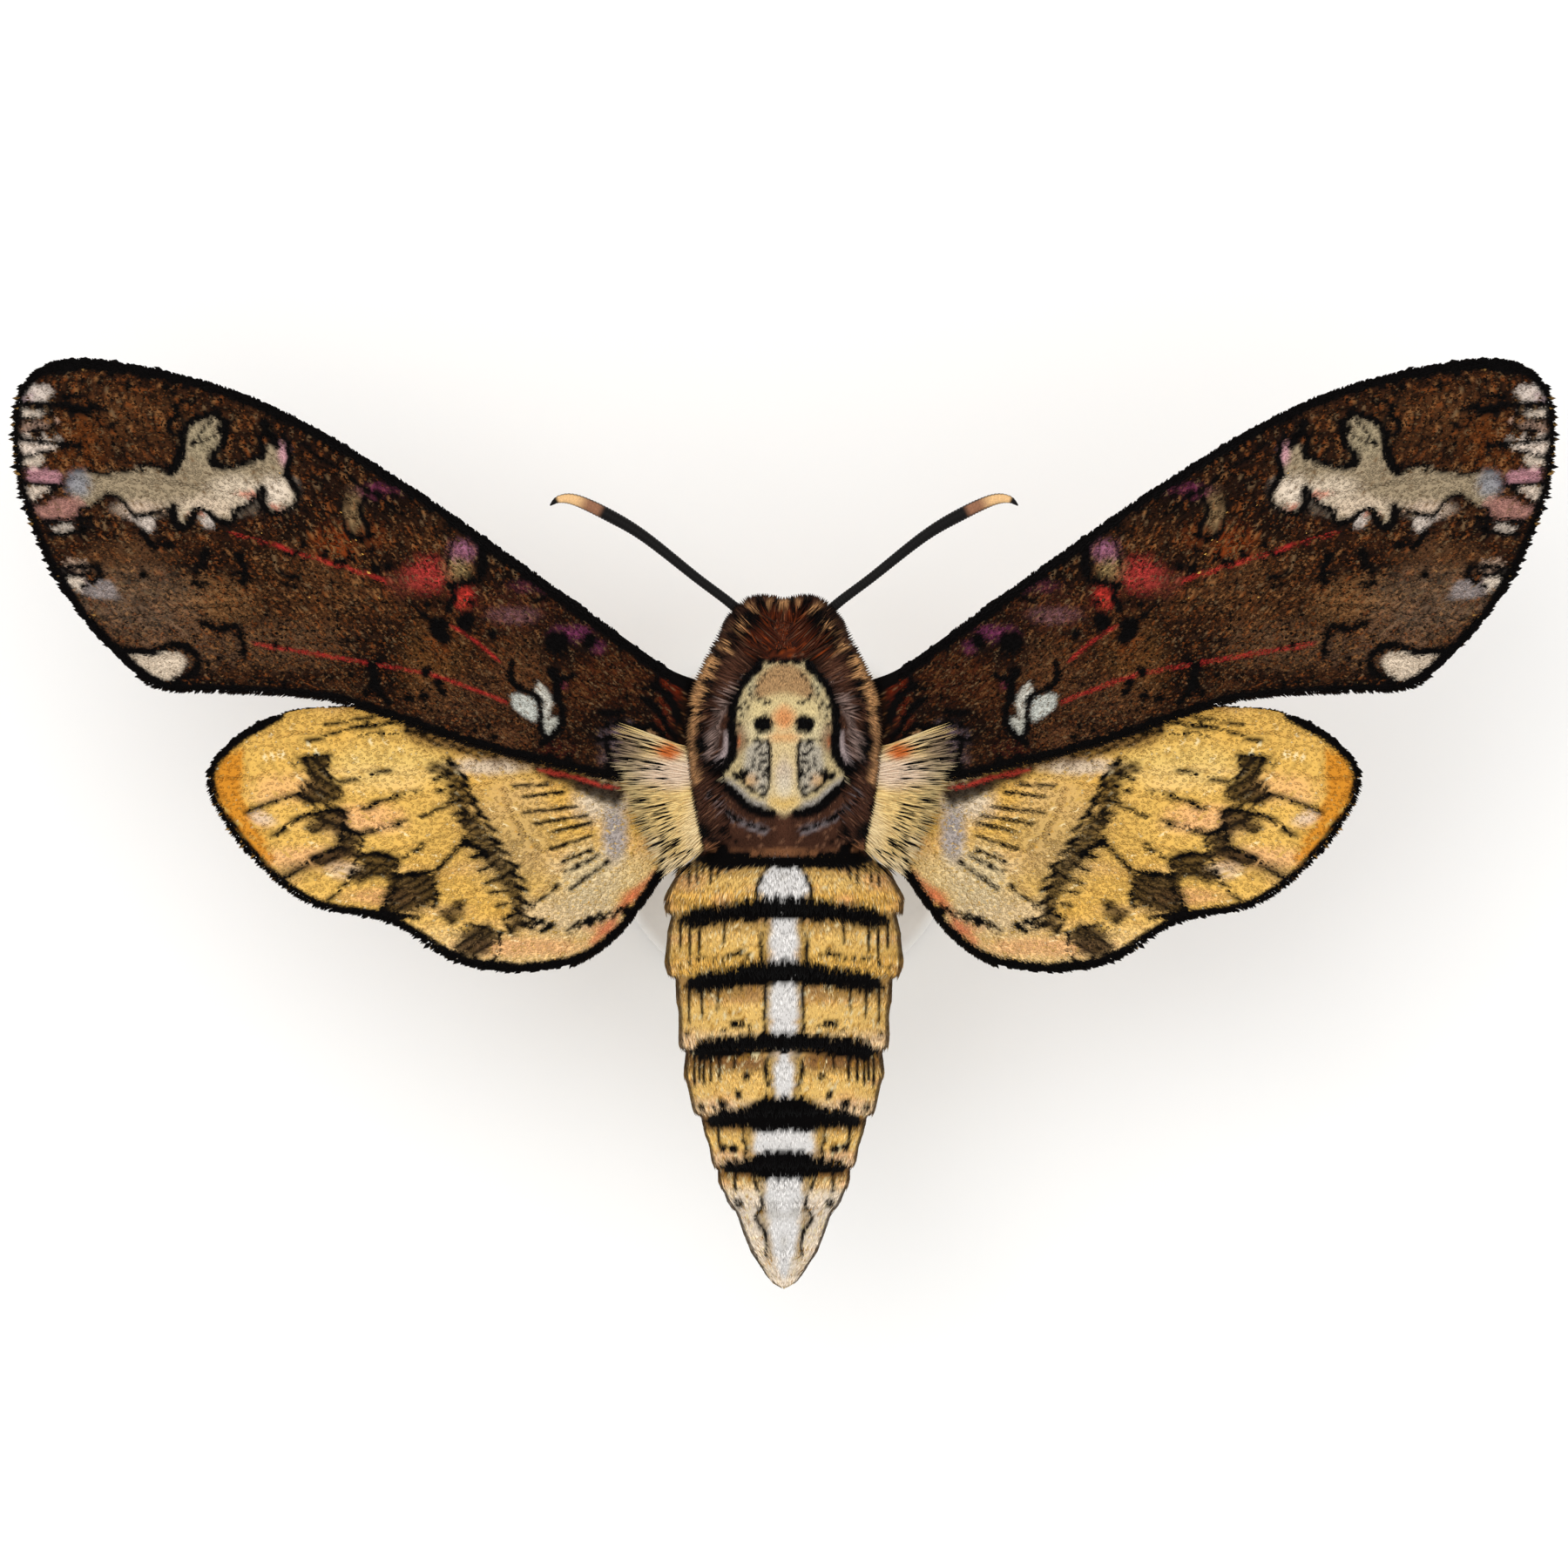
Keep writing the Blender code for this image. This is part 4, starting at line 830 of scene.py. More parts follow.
# %% [markdown]
# A scale or a lock of hair is a thin blade that leaves the skin at a low angle. One function
# builds thousands of them from arrays. A wing scale or a short lock is pointed at both ends,
# with one ring of three corners and six triangles. A longer lock has more rings, so it can
# curve. Every blade is closed. Each keeps a tiny patch of its own on a map of the skin's
# shape, at its root's place, for whoever bakes the colours later.

# %% Coat maker
ROOT_DEPTH = 0.03
KEEL = 0.35
PATCH = 0.003
COAT_LIMIT = 199000
coat_triangles = 0


def unit(vectors):
    return vectors / np.maximum(np.linalg.norm(vectors, axis=-1, keepdims=True), 1e-9)


def blade_sections(steps):
    """Share along a blade and its relative width: one ring for short ones, more for long hair."""
    if steps == 1:
        return [(0.6, 1.0)]
    shares = np.linspace(0.0, 0.78, steps)
    return [(share, 0.55 + 0.9 * share if share < 0.5 else 1.45 - 0.95 * share) for share in shares]


def blade_faces(steps):
    """Corner numbers of one blade's triangles."""
    if steps == 1:
        ring = [(1 + k, 1 + (k + 1) % 3) for k in range(3)]
        return np.array([(0, b, a) for a, b in ring] + [(a, b, 4) for a, b in ring])
    faces = [(0, 2, 1)]
    for ring in range(steps - 1):
        for k in range(3):
            a, b = 3 * ring + k, 3 * ring + (k + 1) % 3
            faces += [(a, b, b + 3), (a, b + 3, a + 3)]
    last = 3 * (steps - 1)
    faces += [(last + k, last + (k + 1) % 3, last + 3) for k in range(3)]
    return np.array(faces)


def report(piece):
    print(piece.name, len(piece.data.polygons), "faces")


def set_pigment(mesh, colour):
    """Keep a linear colour at each point of a mesh."""
    values = np.ones((len(mesh.vertices), 4))
    values[:, :3] = colour
    mesh.attributes.new("pigment", "FLOAT_COLOR", "POINT").data.foreach_set("color", values.ravel())


def dress(piece, finish, slot, *replaced):
    """Give a piece its material, ride it on the one fixed body, and take nodes' places."""
    piece.data.materials.append(finish)
    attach(piece, "root")
    if replaced:
        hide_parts(*replaced)


def make_coat(name, finish, slot, roots, ahead, normal, size, colour, place, steps=1, shade=0.75,
              bend=0.25):
    """Blades on a skin. size holds (length, width, lift in radians) for each, in mm. colour is
    one for each blade, or a function that gives one for each of the corners. A blade with one
    step is pointed at its root too."""
    global coat_triangles
    length, width, lift = (column[:, None] for column in np.array(size, dtype=float).T)
    normal = unit(normal)
    ahead = unit(ahead - normal * np.sum(ahead * normal, axis=1, keepdims=True))
    across = np.cross(ahead, normal)
    corners, shares, sides = [], [], []

    def path(share):
        rise = length * (np.sin(lift) * share - bend * np.sin(lift) * share * share)
        return roots + ahead * length * np.cos(lift) * share + normal * (rise - ROOT_DEPTH)

    def add_point(share):
        corners.append(path(share))
        shares.append(share)
        sides.append(0.5)

    if steps == 1:
        add_point(0.0)
    for share, taper in blade_sections(steps):
        middle = path(share)
        for side, up in ((-0.5, 0.0), (0.5, 0.0), (0.0, -KEEL)):
            corners.append(middle + across * width * taper * side + normal * width * up * taper)
            shares.append(share)
            sides.append(side + 0.5)
    add_point(1.0)
    count, each = len(roots), len(corners)
    points = np.stack(corners, axis=1).reshape(-1, 3) * MM
    pattern = blade_faces(steps)
    faces = (pattern[None] + np.arange(count)[:, None, None] * each).reshape(-1, 3)
    mesh = bpy.data.meshes.new(name)
    mesh.vertices.add(len(points))
    mesh.vertices.foreach_set("co", points.ravel())
    mesh.loops.add(faces.size)
    mesh.loops.foreach_set("vertex_index", faces.ravel())
    mesh.polygons.add(len(faces))
    mesh.polygons.foreach_set("loop_start", np.arange(0, faces.size, 3))
    mesh.update(calc_edges=True)
    shares, sides = np.array(shares), np.array(sides)
    # Each blade is darkened towards its root by the share shade: painted shade deep in the coat.
    tone = (shade + (1.0 - shade) * np.minimum(1.0, shares * 2.0))[None, :, None]
    if callable(colour):
        pigment = colour(points / MM).reshape(count, each, 3) * tone
    else:
        pigment = colour[:, None, :] * tone
    set_pigment(mesh, pigment.reshape(-1, 3))
    patch = np.stack((sides - 0.5, shares - 0.5), axis=1) * PATCH
    corner_places = np.clip((place[:, None, :] + patch[None]).reshape(-1, 2), 0.0, 1.0)
    mesh.uv_layers.new(name="OFBake").data.foreach_set("uv", corner_places[faces.ravel()].ravel())
    mesh.shade_smooth()
    coat = bpy.data.objects.new(name, mesh)
    bpy.context.scene.collection.objects.link(coat)
    assert len(faces) < COAT_LIMIT, name
    coat_triangles += len(faces)
    dress(coat, finish, slot)
    report(coat)


print("triangles in a scale and in a long lock:", len(blade_faces(1)), len(blade_faces(4)))

# %% [markdown]
# Wing scales are flat plates of chitin with fine ridges, so they are matt with a faint silky
# sheen. Hair scales on the body are thinner and softer. Both take their colour from the
# pigment laid on them, varied a little from scale to scale by noise of a scale's size, about
# 0.15 mm, and a fine bump stands for the ridges, which are really too small to see.

# %% Coat materials
SCALE_NOISE = 0.11
RIDGE_NOISE = 0.05


def vary_pigment(tree, pattern, low, high):
    """The colour kept at each point, made darker and lighter between two shares by a pattern."""
    pigment = add_node(tree, "Attribute", {"attribute_name": "pigment"})
    tone = add_node(tree, "MapRange", {"To Min": low, "To Max": high}, {"Value": pattern})
    return add_node(tree, "VectorMath", {"operation": "SCALE"},
                    {"Vector": (pigment, "Color"), "Scale": (tone, "Result")})


def coat_finish(name, roughness, sheen, variation, bump):
    finish, tree, shader = new_finish(name, Roughness=roughness, Sheen_Weight=sheen,
                                      Sheen_Roughness=0.45, Specular_IOR_Level=0.04)
    place = {"Vector": (add_node(tree, "TexCoord"), "Object")}
    noise = add_node(tree, "TexNoise", {"Scale": 1.0 / (SCALE_NOISE * MM), "Detail": 2.0}, place)
    varied = vary_pigment(tree, (noise, "Fac"), 1.0 - variation, 1.0 + variation)
    ridges = add_node(tree, "TexNoise", {"Scale": 1.0 / (RIDGE_NOISE * MM)}, place)
    relief = add_node(tree, "Bump", {"Strength": bump, "Distance": 0.05 * MM},
                      {"Height": (ridges, "Fac")})
    feed(tree, shader, {"Base Color": (varied, "Vector"), "Normal": (relief, "Normal")})
    return finish


wing_scale = coat_finish("wing_scale_chitin", 0.66, 0.01, 0.24, 0.20)
body_hair = coat_finish("body_hair_scales", 0.80, 0.02, 0.22, 0.25)
print("coat materials:", wing_scale.name, body_hair.name)

# %% [markdown]
# A wing is a membrane thinner than paper on a fan of hollow veins. It could be cut from a flat
# sheet, but a grid stretched between its four edges is better here: its rows run from the root
# to the margin, which is the way the scales point. The edges repeat the solids' outlines, and
# the grid's height follows the solids' middle surface. The veins stand up as ridges with
# shallow furrows between them.

# %% Wing surface
def pairs(numbers):
    """Rows of two from numbers that follow one another."""
    return np.reshape(numbers, (-1, 2))


AXIS = 30.0
WING_HINGE = 6.5
MEMBRANE_THICKNESS = 0.16
HINDWING_DROP = 1.4
VEIN_RIDGE = 0.13
VEIN_WIDTH = 0.24
VEIN_STEP = 2.0
FURROW = 0.14
FURROW_WIDTH = 1.1
EDGE_INSET = 0.006
EDGE_STEP = 0.25

FOREWING = {
    "outline": pairs((5, 9.4, 8.7, 11.6, 16.2, 17, 26.1, 24, 33.6, 28.6, 38.6, 30.95, 43.5, 32.4,
                      49, 33.35, 52.2, 33.05, 54.2, 31.7, 55, 28.8, 54.5, 24, 52.4, 18.6, 49.4, 14.2,
                      46, 10.9, 44, 9.85, 41, 9.7, 34.8, 9.4, 30.7, 8.7, 22.6, 6, 15.4, 4.2, 10, 3.1,
                      5, 2.4)),
    "tip": (52.2, 33.05), "corner": (46, 10.9), "drop": 0.0, "grid": (190, 70),
    "veins": ((7, 10.1, 20, 18.9, 32.6, 27.2), (7, 9, 18, 15.6, 30.6, 22.9),
              (21.5, 17.75, 32.5, 25.4, 41.2, 30.9), (30.6, 22.9, 41, 28.7, 49.4, 32.4),
              (30.6, 22.9, 42.5, 27.4, 53.6, 30.6), (30.4, 22, 42.5, 24.4, 54, 25),
              (29.9, 19.9, 42, 21.1, 53, 21), (28.7, 17.2, 41, 18, 51.4, 17.8),
              (27.4, 16, 38.5, 15.9, 49, 14.8), (20.4, 12.6, 33, 13.2, 46.1, 11.9),
              (7, 6.4, 18, 11.3, 27.4, 16, 29.9, 19.9, 30.6, 22.9), (7, 4.6, 22, 8.6, 40.6, 10.4)),
}
HINDWING = {
    "outline": pairs((5, 5.2, 14, 7.2, 25, 8.5, 33, 8.6, 36.2, 8, 38.8, 6.6, 40.85, 4.6, 41.15, 2.9,
                      40.3, 0.9, 38.3, -1.9, 35.6, -4.4, 33, -5.8, 29.5, -6.4, 27.2, -7.2, 24.6, -8.95,
                      22.4, -9.85, 19, -10.25, 15, -9.65, 12.2, -7.9, 10.1, -5.3, 8.8, -3.4, 7, -1.7,
                      5, -0.9)),
    "tip": (38.8, 6.6), "corner": (15, -9.65), "drop": HINDWING_DROP, "grid": (140, 76),
    "veins": ((7.4, 4.6, 24, 7.2, 37.6, 6.5), (7.4, 3.6, 20.2, 3.4, 31, 4, 40.2, 3.4),
              (20.2, 3.4, 30, 1.4, 38.6, -0.6), (19.4, 1, 28, -1.6, 35.2, -4.1),
              (18.2, -0.8, 25, -3.6, 30.6, -5.9), (17.2, -1.6, 22.4, -4.9, 26.2, -7.4),
              (13.4, 0.4, 17.6, -5, 21.4, -9.4), (7.4, 2.6, 13.4, 0.4, 17.2, -1.6, 19.4, 1, 20.2, 3.4),
              (7.6, 1.4, 12.6, -4, 16, -9.1)),
}


def resample(line):
    """A function from a share along a polyline to the place there."""
    steps = np.concatenate(([0.0], np.cumsum(np.linalg.norm(np.diff(line, axis=0), axis=1))))
    return lambda share: np.column_stack([np.interp(share * steps[-1], steps, line[:, axis])
                                          for axis in (0, 1)])


def wing_edges(wing):
    """Front, outer, rear and root edges, each from root to margin or from rear to front."""
    outline = smooth_line(wing["outline"], EDGE_STEP, closed=True)
    tip, corner, heel = [int(np.argmin(np.linalg.norm(outline - place, axis=1)))
                         for place in (wing["tip"], wing["corner"], wing["outline"][-1])]
    front, outer, rear = outline[:tip + 1], outline[tip:corner + 1], outline[corner:heel + 1]
    root = np.array((wing["outline"][-1], wing["outline"][0]))
    return resample(front), resample(outer[::-1]), resample(rear[::-1]), resample(root)


def wing_plan(wing, u, v):
    """Place in plan at a share u out along the wing and v from its rear to its front edge."""
    front, outer, rear, root = wing["edges"]
    u = EDGE_INSET + u * (1.0 - 2.0 * EDGE_INSET)
    v = EDGE_INSET + v * (1.0 - 2.0 * EDGE_INSET)
    a, b = u[:, None], v[:, None]
    rear_root, front_root, rear_end, front_end = [
        edge(np.array([share])) for share in (0.0, 1.0) for edge in (rear, front)]
    blend = ((1 - a) * (1 - b) * rear_root + (1 - a) * b * front_root
             + a * (1 - b) * rear_end + a * b * front_end)
    return (1 - b) * rear(u) + b * front(u) + (1 - a) * root(v) + a * outer(v) - blend


def wing_height(wing, plan, veined):
    """Height of the wing's middle surface, with its veins and furrows if they are asked for."""
    reach = plan[:, 0] - WING_HINGE
    behind = 7.3 + 0.53 * plan[:, 0] - plan[:, 1]
    height = AXIS + 2.6 + 0.16 * reach - 0.0013 * reach ** 2 - 0.02 * behind - wing["drop"]
    if not veined:
        return height - 0.5 * FURROW
    nearest = np.full(len(plan), FAR)
    for vein in wing["veins"]:
        line = smooth_line(pairs(vein), VEIN_STEP)
        nearest = np.minimum(nearest, line_distance(plan[:, 0], plan[:, 1], line))
    ridge = VEIN_RIDGE * np.exp(-(nearest / VEIN_WIDTH) ** 2)
    return height + ridge - FURROW * (1.0 - np.exp(-(nearest / FURROW_WIDTH) ** 2)) + 0.5 * FURROW


def wing_points(wing, u, v, veined=True):
    plan = wing_plan(wing, u, v)
    return np.column_stack((plan, wing_height(wing, plan, veined)))


def with_margin(wing, paint):
    """Both wings have a dark margin, above and below."""
    for line, width in wing["margins"]:
        paint.stroke(BLACK_SCALE, line, 2.0 * width, ragged=0.15)
    return paint.colour


FOREWING["painter"] = paint_forewing
FOREWING["margins"] = ((FOREWING["outline"][:9], 0.82), (FOREWING["outline"][8:16], 0.56),
                       (FOREWING["outline"][15:22], 0.54))
HINDWING["painter"] = paint_hindwing
HINDWING["margins"] = ((HINDWING["outline"][4:17], 0.50), (HINDWING["outline"][16:22], 0.46))
FOREWING["dusk"] = 0.12
HINDWING["dusk"] = 0.02
for wing in (FOREWING, HINDWING):
    wing["edges"] = wing_edges(wing)
corners = wing_points(FOREWING, np.array([0.0, 1.0]), np.array([0.0, 1.0]))
print("forewing runs from", np.round(corners[0], 1), "to", np.round(corners[1], 1))

# %% [markdown]
# The membrane starts as a grid primitive. Its corners are moved to the wing's surface, and a
# Solidify modifier gives it its thickness. The left wing is the right one mirrored, with its
# faces turned back the right way.

# %% Wing membranes
def deselect_all():
    for item in list(bpy.context.selected_objects):
        item.select_set(False)


def select_only(item):
    deselect_all()
    item.select_set(True)
    bpy.context.view_layer.objects.active = item


def apply_all(item):
    """Apply a piece's modifiers in turn."""
    select_only(item)
    for modifier in list(item.modifiers):
        bpy.ops.object.modifier_apply(modifier=modifier.name)


def all_points(mesh):
    points = np.empty(len(mesh.vertices) * 3)
    mesh.vertices.foreach_get("co", points)
    return points.reshape(-1, 3)


def set_points(mesh, points):
    """Move a mesh's corners to places in millimetres."""
    mesh.vertices.foreach_set("co", (points * MM).ravel())


def mirror(sign):
    """The factors that take a place on the right side to the left one, or keep it."""
    return np.array((sign, 1.0, 1.0))


def make_membrane(name, wing, sign, slot):
    columns, rows = wing["grid"]
    deselect_all()
    bpy.ops.mesh.primitive_grid_add(x_subdivisions=columns, y_subdivisions=rows, size=2.0)
    membrane = bpy.context.object
    membrane.name = name
    share = (all_points(membrane.data)[:, :2] + 1.0) / 2.0
    set_points(membrane.data, wing_points(wing, share[:, 0], share[:, 1]) * mirror(sign))
    if sign < 0:
        membrane.data.flip_normals()
    solid = membrane.modifiers.new("thickness", "SOLIDIFY")
    solid.thickness = MEMBRANE_THICKNESS * MM
    solid.offset = 0.0
    apply_all(membrane)
    points = all_points(membrane.data) / MM
    normals = np.empty(len(points) * 3)
    membrane.data.vertices.foreach_get("normal", normals)
    upper = normals.reshape(-1, 3)[:, 2] > 0.0
    share = np.tile(share[:, 0], 2)
    out = np.abs(points[:, 0])
    above = with_margin(wing, wing["painter"](out, points[:, 1], 31))
    below = with_margin(wing, paint_under(out, points[:, 1], share, 32, wing["dusk"]))
    set_pigment(membrane.data, np.where(upper[:, None], above, below))
    membrane.data.shade_smooth()
    dress(membrane, wing_scale, slot, name.replace("_membrane", ""))
    report(membrane)


WINGS = (("forewing", FOREWING, "forewing_scales"), ("hindwing", HINDWING, "hindwing_scales"))
for side, sign in SIDES:
    for name, wing, slot in WINGS:
        make_membrane(f"{name}_{side}_membrane", wing, sign, slot)

# %% [markdown]
# Wing scales sit in sockets in rows, like roof tiles, with their free ends towards the margin.
# Real ones are about 0.1 by 0.2 mm, and a moth has over a million. These are about twice that
# size each way, so each stands for a few real ones, and each of its corners has its own colour.
# Along the margins a fringe of longer, narrower scales stands out flat.

# %% Wing scales
SCALE_LENGTH = 0.46
SCALE_WIDTH = 0.20
ROW_GAP = 0.205
SCALE_GAP = 0.175
UNDER_SPREAD = 1.7
top_colours = {}


def shingle_places(wing, row_gap, scale_gap, random):
    """Shares (u, v) of scales set in rows across the wing."""
    length = 0.5 * (wing_span(wing, 0.0) + wing_span(wing, 1.0))
    places = []
    for u in np.arange(0.06, 0.999, row_gap / length):
        ends = wing_plan(wing, np.array([u, u]), np.array([0.0, 1.0]))
        count = max(3, int(np.linalg.norm(ends[1] - ends[0]) / scale_gap))
        v = (np.arange(count) + random.random(count)) / count
        places.append(np.column_stack((u + (random.random(count) - 0.5) * row_gap / length, v)))
    return np.clip(np.concatenate(places), 0.001, 0.999)


def wing_span(wing, v):
    line = wing_plan(wing, np.linspace(0.0, 1.0, 60), np.full(60, v))
    return float(np.linalg.norm(np.diff(line, axis=0), axis=1).sum())


def wing_frame(wing, shares, veined=True):
    """Points, the way towards the margin, and the upward normal, on the right wing. Without its
    veins, the two directions keep a scale under the wing from coming through above it."""
    steps = np.array(((0.004, 0.0), (-0.004, 0.0), (0.0, 0.004), (0.0, -0.004)))
    outer, inner, front, rear = (wing_points(wing, *np.clip(shares + step, 0.0, 1.0).T, veined)
                                 for step in steps)
    points = wing_points(wing, shares[:, 0], shares[:, 1])
    ahead, aside = outer - inner, front - rear
    return points, unit(ahead), unit(np.cross(ahead, aside))


def make_scales(name, wing, sign, slot, upper, seed):
    random = np.random.default_rng(seed)
    spread = 1.0 if upper else UNDER_SPREAD
    shares = shingle_places(wing, ROW_GAP * spread, SCALE_GAP * spread, random)
    points, ahead, normal = wing_frame(wing, shares, veined=upper)
    face = 1.0 if upper else -1.0
    roots = points + normal * face * MEMBRANE_THICKNESS / 2.0
    count = len(roots)
    length = SCALE_LENGTH * spread * random.uniform(0.8, 1.25, count)
    size = np.column_stack((length, SCALE_WIDTH * spread * random.uniform(0.8, 1.2, count),
                            random.uniform(0.10, 0.24, count)))
    ahead = ahead + random.normal(0.0, 0.10, (count, 3))

    def top_colour(corners):
        """Both sides match, so the second wing takes the colours worked out for the first."""
        key = name.split("_")[0]
        if key not in top_colours:
            top = wing["painter"](np.abs(corners[:, 0]), corners[:, 1], seed)
            top_colours[key] = with_margin(wing, top)
        return top_colours[key]

    colour = top_colour
    if not upper:
        below = paint_under(roots[:, 0], roots[:, 1], shares[:, 0], seed, wing["dusk"])
        colour = with_margin(wing, below)
    flip = mirror(sign)
    place = np.column_stack((shares[:, 0], shares[:, 1] * 0.49 + (0.0 if upper else 0.5)))
    # The scales are darker at their roots: painted shade under the row above them.
    make_coat(name, wing_scale, slot, roots * flip, ahead * flip, normal * flip * face, size, colour,
              place, shade=0.82)


for side, sign in SIDES:
    for name, wing, slot in WINGS:
        for face, upper in (("top", True), ("under", False)):
            make_scales(f"{name}_{side}_scales_{face}", wing, sign, slot, upper, 41 + upper)

# %% Wing fringes
FRINGE_LENGTH = 0.52
FRINGE_WIDTH = 0.13
FRINGE_COUNTS = (900, 900, 500)
BARE_ROOT = 0.15


def make_fringe(name, wing, sign, slot, colours, seed):
    """Narrow scales along the outer, rear and front edges."""
    random = np.random.default_rng(seed)
    outer, rear, front = (random.random(count) for count in FRINGE_COUNTS)
    shares = np.vstack((
        np.column_stack((np.full(len(outer), 0.997), outer)),
        np.column_stack((BARE_ROOT + (1.0 - BARE_ROOT) * rear, np.full(len(rear), 0.003))),
        np.column_stack((BARE_ROOT + (1.0 - BARE_ROOT) * front, np.full(len(front), 0.997)))))
    points, ahead, normal = wing_frame(wing, shares)
    aside = np.cross(normal, ahead)
    outward = np.repeat((0.0, -1.0, 0.6), FRINGE_COUNTS)
    ahead = unit(ahead + aside * outward[:, None] + random.normal(0.0, 0.12, points.shape))
    length = FRINGE_LENGTH * random.uniform(0.6, 1.2, len(points))
    length[-len(front):] *= 0.6
    size = np.column_stack((length, np.full(len(points), FRINGE_WIDTH),
                            random.uniform(-0.05, 0.15, len(points))))
    chosen = np.array([linear(code) for code in colours])[random.integers(0, len(colours), len(points))]
    flip = mirror(sign)
    make_coat(name, wing_scale, slot, points * flip, ahead * flip, normal * flip, size, chosen,
              shares * 0.99)


FRINGE_COLOURS = {"forewing": ("#0A0706", "#110B08", "#160E09"),
                  "hindwing": ("#0A0706", "#0E0906", "#160E08")}
for side, sign in SIDES:
    for name, wing, slot in WINGS:
        make_fringe(f"{name}_{side}_fringe", wing, sign, slot, FRINGE_COLOURS[name], 51)

# %% [markdown]
# Head, thorax and abdomen are one furry body, so one skin runs from nose to tail with no seam.
# It starts as a sphere whose poles lie at the nose and the tail. Its rings are moved to the
# solids' cross-sections, less the depth of the coat. Each ring of the abdomen swells towards
# its rear and steps down to the next, and a crease parts the head from the thorax.

# %% Body surface
# Each row: place along the body, half width, height above and depth below the axis
BODY_SECTIONS = (
    (16.15, 1.0, 0.9, 0.9), (15.9, 2.2, 1.9, 2.0), (15.4, 3.2, 2.9, 3.0), (14.6, 3.95, 3.9, 3.8),
    (13.4, 4.75, 4.5, 4.1), (12.5, 5.45, 4.7, 4.1), (12.2, 5.75, 4.9, 4.6), (10.6, 6.4, 5.7, 5.3),
    (7.4, 6.87, 6.3, 5.9), (4.3, 7.0, 6.5, 6.1), (1.2, 6.75, 6.3, 6.0), (-0.8, 6.5, 5.9, 5.7),
    (-2.1, 6.8, 5.5, 5.3), (-2.9, 7.9, 5.8, 5.4), (-4.6, 8.75, 6.47, 5.95), (-9.4, 8.85, 6.55, 6.02),
    (-13.4, 7.95, 5.88, 5.41), (-17.6, 7.6, 5.62, 5.17), (-20.4, 6.75, 5.0, 4.59),
    (-23.0, 5.7, 4.22, 3.88), (-25.4, 5.1, 3.77, 3.47), (-28.0, 3.8, 2.81, 2.58),
    (-30.4, 2.75, 2.04, 1.87), (-32.3, 1.45, 1.07, 0.99), (-33.0, 0.7, 0.52, 0.48))
NOSE = 15.75
TAIL = -32.7
COAT_DEPTH = ((-33.0, 0.25), (-28.0, 0.40), (-4.0, 0.50), (-1.5, 0.55), (9.0, 0.60), (12.5, 0.50),
              (15.8, 0.40))
RING_SWELL = ((0.0, -0.035), (0.3, 0.0), (0.6, 0.012), (0.88, 0.03), (1.0, -0.02))
NECK = 12.35
NECK_CREASE = 0.05
SKIN_VOXEL = 0.30
SKIN_PAINTED_SHADE = 0.7
EYE_PLACE = np.array((2.7, 14.1, AXIS - 0.6))
EYE_SIZE = np.array((1.8, 1.58, 2.3))
PALP_PLACE = np.array((1.62, 14.35, AXIS - 1.9))
PALP_SIZE = np.array((1.15, 1.65, 2.05))


def section(along):
    """Half width, top and bottom of the body at places along it, less the coat's depth."""
    rows = np.array(BODY_SECTIONS)[::-1]
    sizes = [np.interp(along, rows[:, 0], rows[:, column]) for column in (1, 2, 3)]
    ends = np.array(RING_ENDS)
    ring = np.clip(np.searchsorted(-ends, -along) - 1, 0, len(ends) - 2)
    share = np.clip((ends[ring] - along) / (ends[ring] - ends[ring + 1]), 0.0, 1.0)
    swell = np.interp(share, *np.array(RING_SWELL).T) * (along < RING_ENDS[0])
    crease = NECK_CREASE * np.exp(-((along - NECK) / 0.5) ** 2)
    depth = np.interp(along, *np.array(COAT_DEPTH).T)
    return [np.maximum(size * (1.0 + swell - crease) - depth, 0.12) for size in sizes]


def body_points(angle, along):
    """Places on the body at an angle round it, 0 at its right side and a quarter turn on top."""
    half_width, top, bottom = section(along)
    up = np.sin(angle)
    height = np.where(up > 0.0, top, bottom) * up
    return np.column_stack((half_width * np.cos(angle), along, AXIS + height))


def add_ball(name, segments, rings):
    """A sphere, with the share from pole to pole and the angle round of each of its corners."""
    deselect_all()
    bpy.ops.mesh.primitive_uv_sphere_add(segments=segments, ring_count=rings, radius=1.0)
    ball = bpy.context.object
    ball.name = name
    points = all_points(ball.data)
    share = np.arcsin(np.clip(points[:, 2], -1.0, 1.0)) / math.pi + 0.5
    return ball, share, np.arctan2(points[:, 1], points[:, 0])


def make_skin():
    skin, share, angle = add_ball("body_skin", 120, 240)
    points = body_points(angle, TAIL + (NOSE - TAIL) * share)
    pole = np.abs(share - 0.5) > 0.499
    points[pole, 0] = 0.0
    points[pole, 2] = AXIS
    set_points(skin.data, points)
    skin.data.flip_normals()
    palps = [add_ball("palp", 48, 32)[0] for side in SIDES]
    select_only(skin)
    for palp, (side, sign) in zip(palps, SIDES):
        set_points(palp.data, all_points(palp.data) * PALP_SIZE + PALP_PLACE * mirror(sign))
        palp.select_set(True)
    bpy.ops.object.join()
    fuse = skin.modifiers.new("fuse", "REMESH")
    fuse.mode = "VOXEL"
    fuse.voxel_size = SKIN_VOXEL * MM
    smooth = skin.modifiers.new("smooth", "SMOOTH")
    smooth.factor = 0.5
    smooth.iterations = 4
    apply_all(skin)
    points = all_points(skin.data) / MM
    colour = paint_body(points[:, 0], points[:, 1], body_top(points), 61).colour
    # The skin has the coat's colours, darkened: painted shade deep under the hair.
    set_pigment(skin.data, colour * SKIN_PAINTED_SHADE)
    skin.data.materials.clear()
    skin.data.shade_smooth()
    dress(skin, body_hair, "body_hair", "head", "thorax", "palp_left", "palp_right",
          *[f"abdomen_{number}" for number in range(1, 8)])
    report(skin)


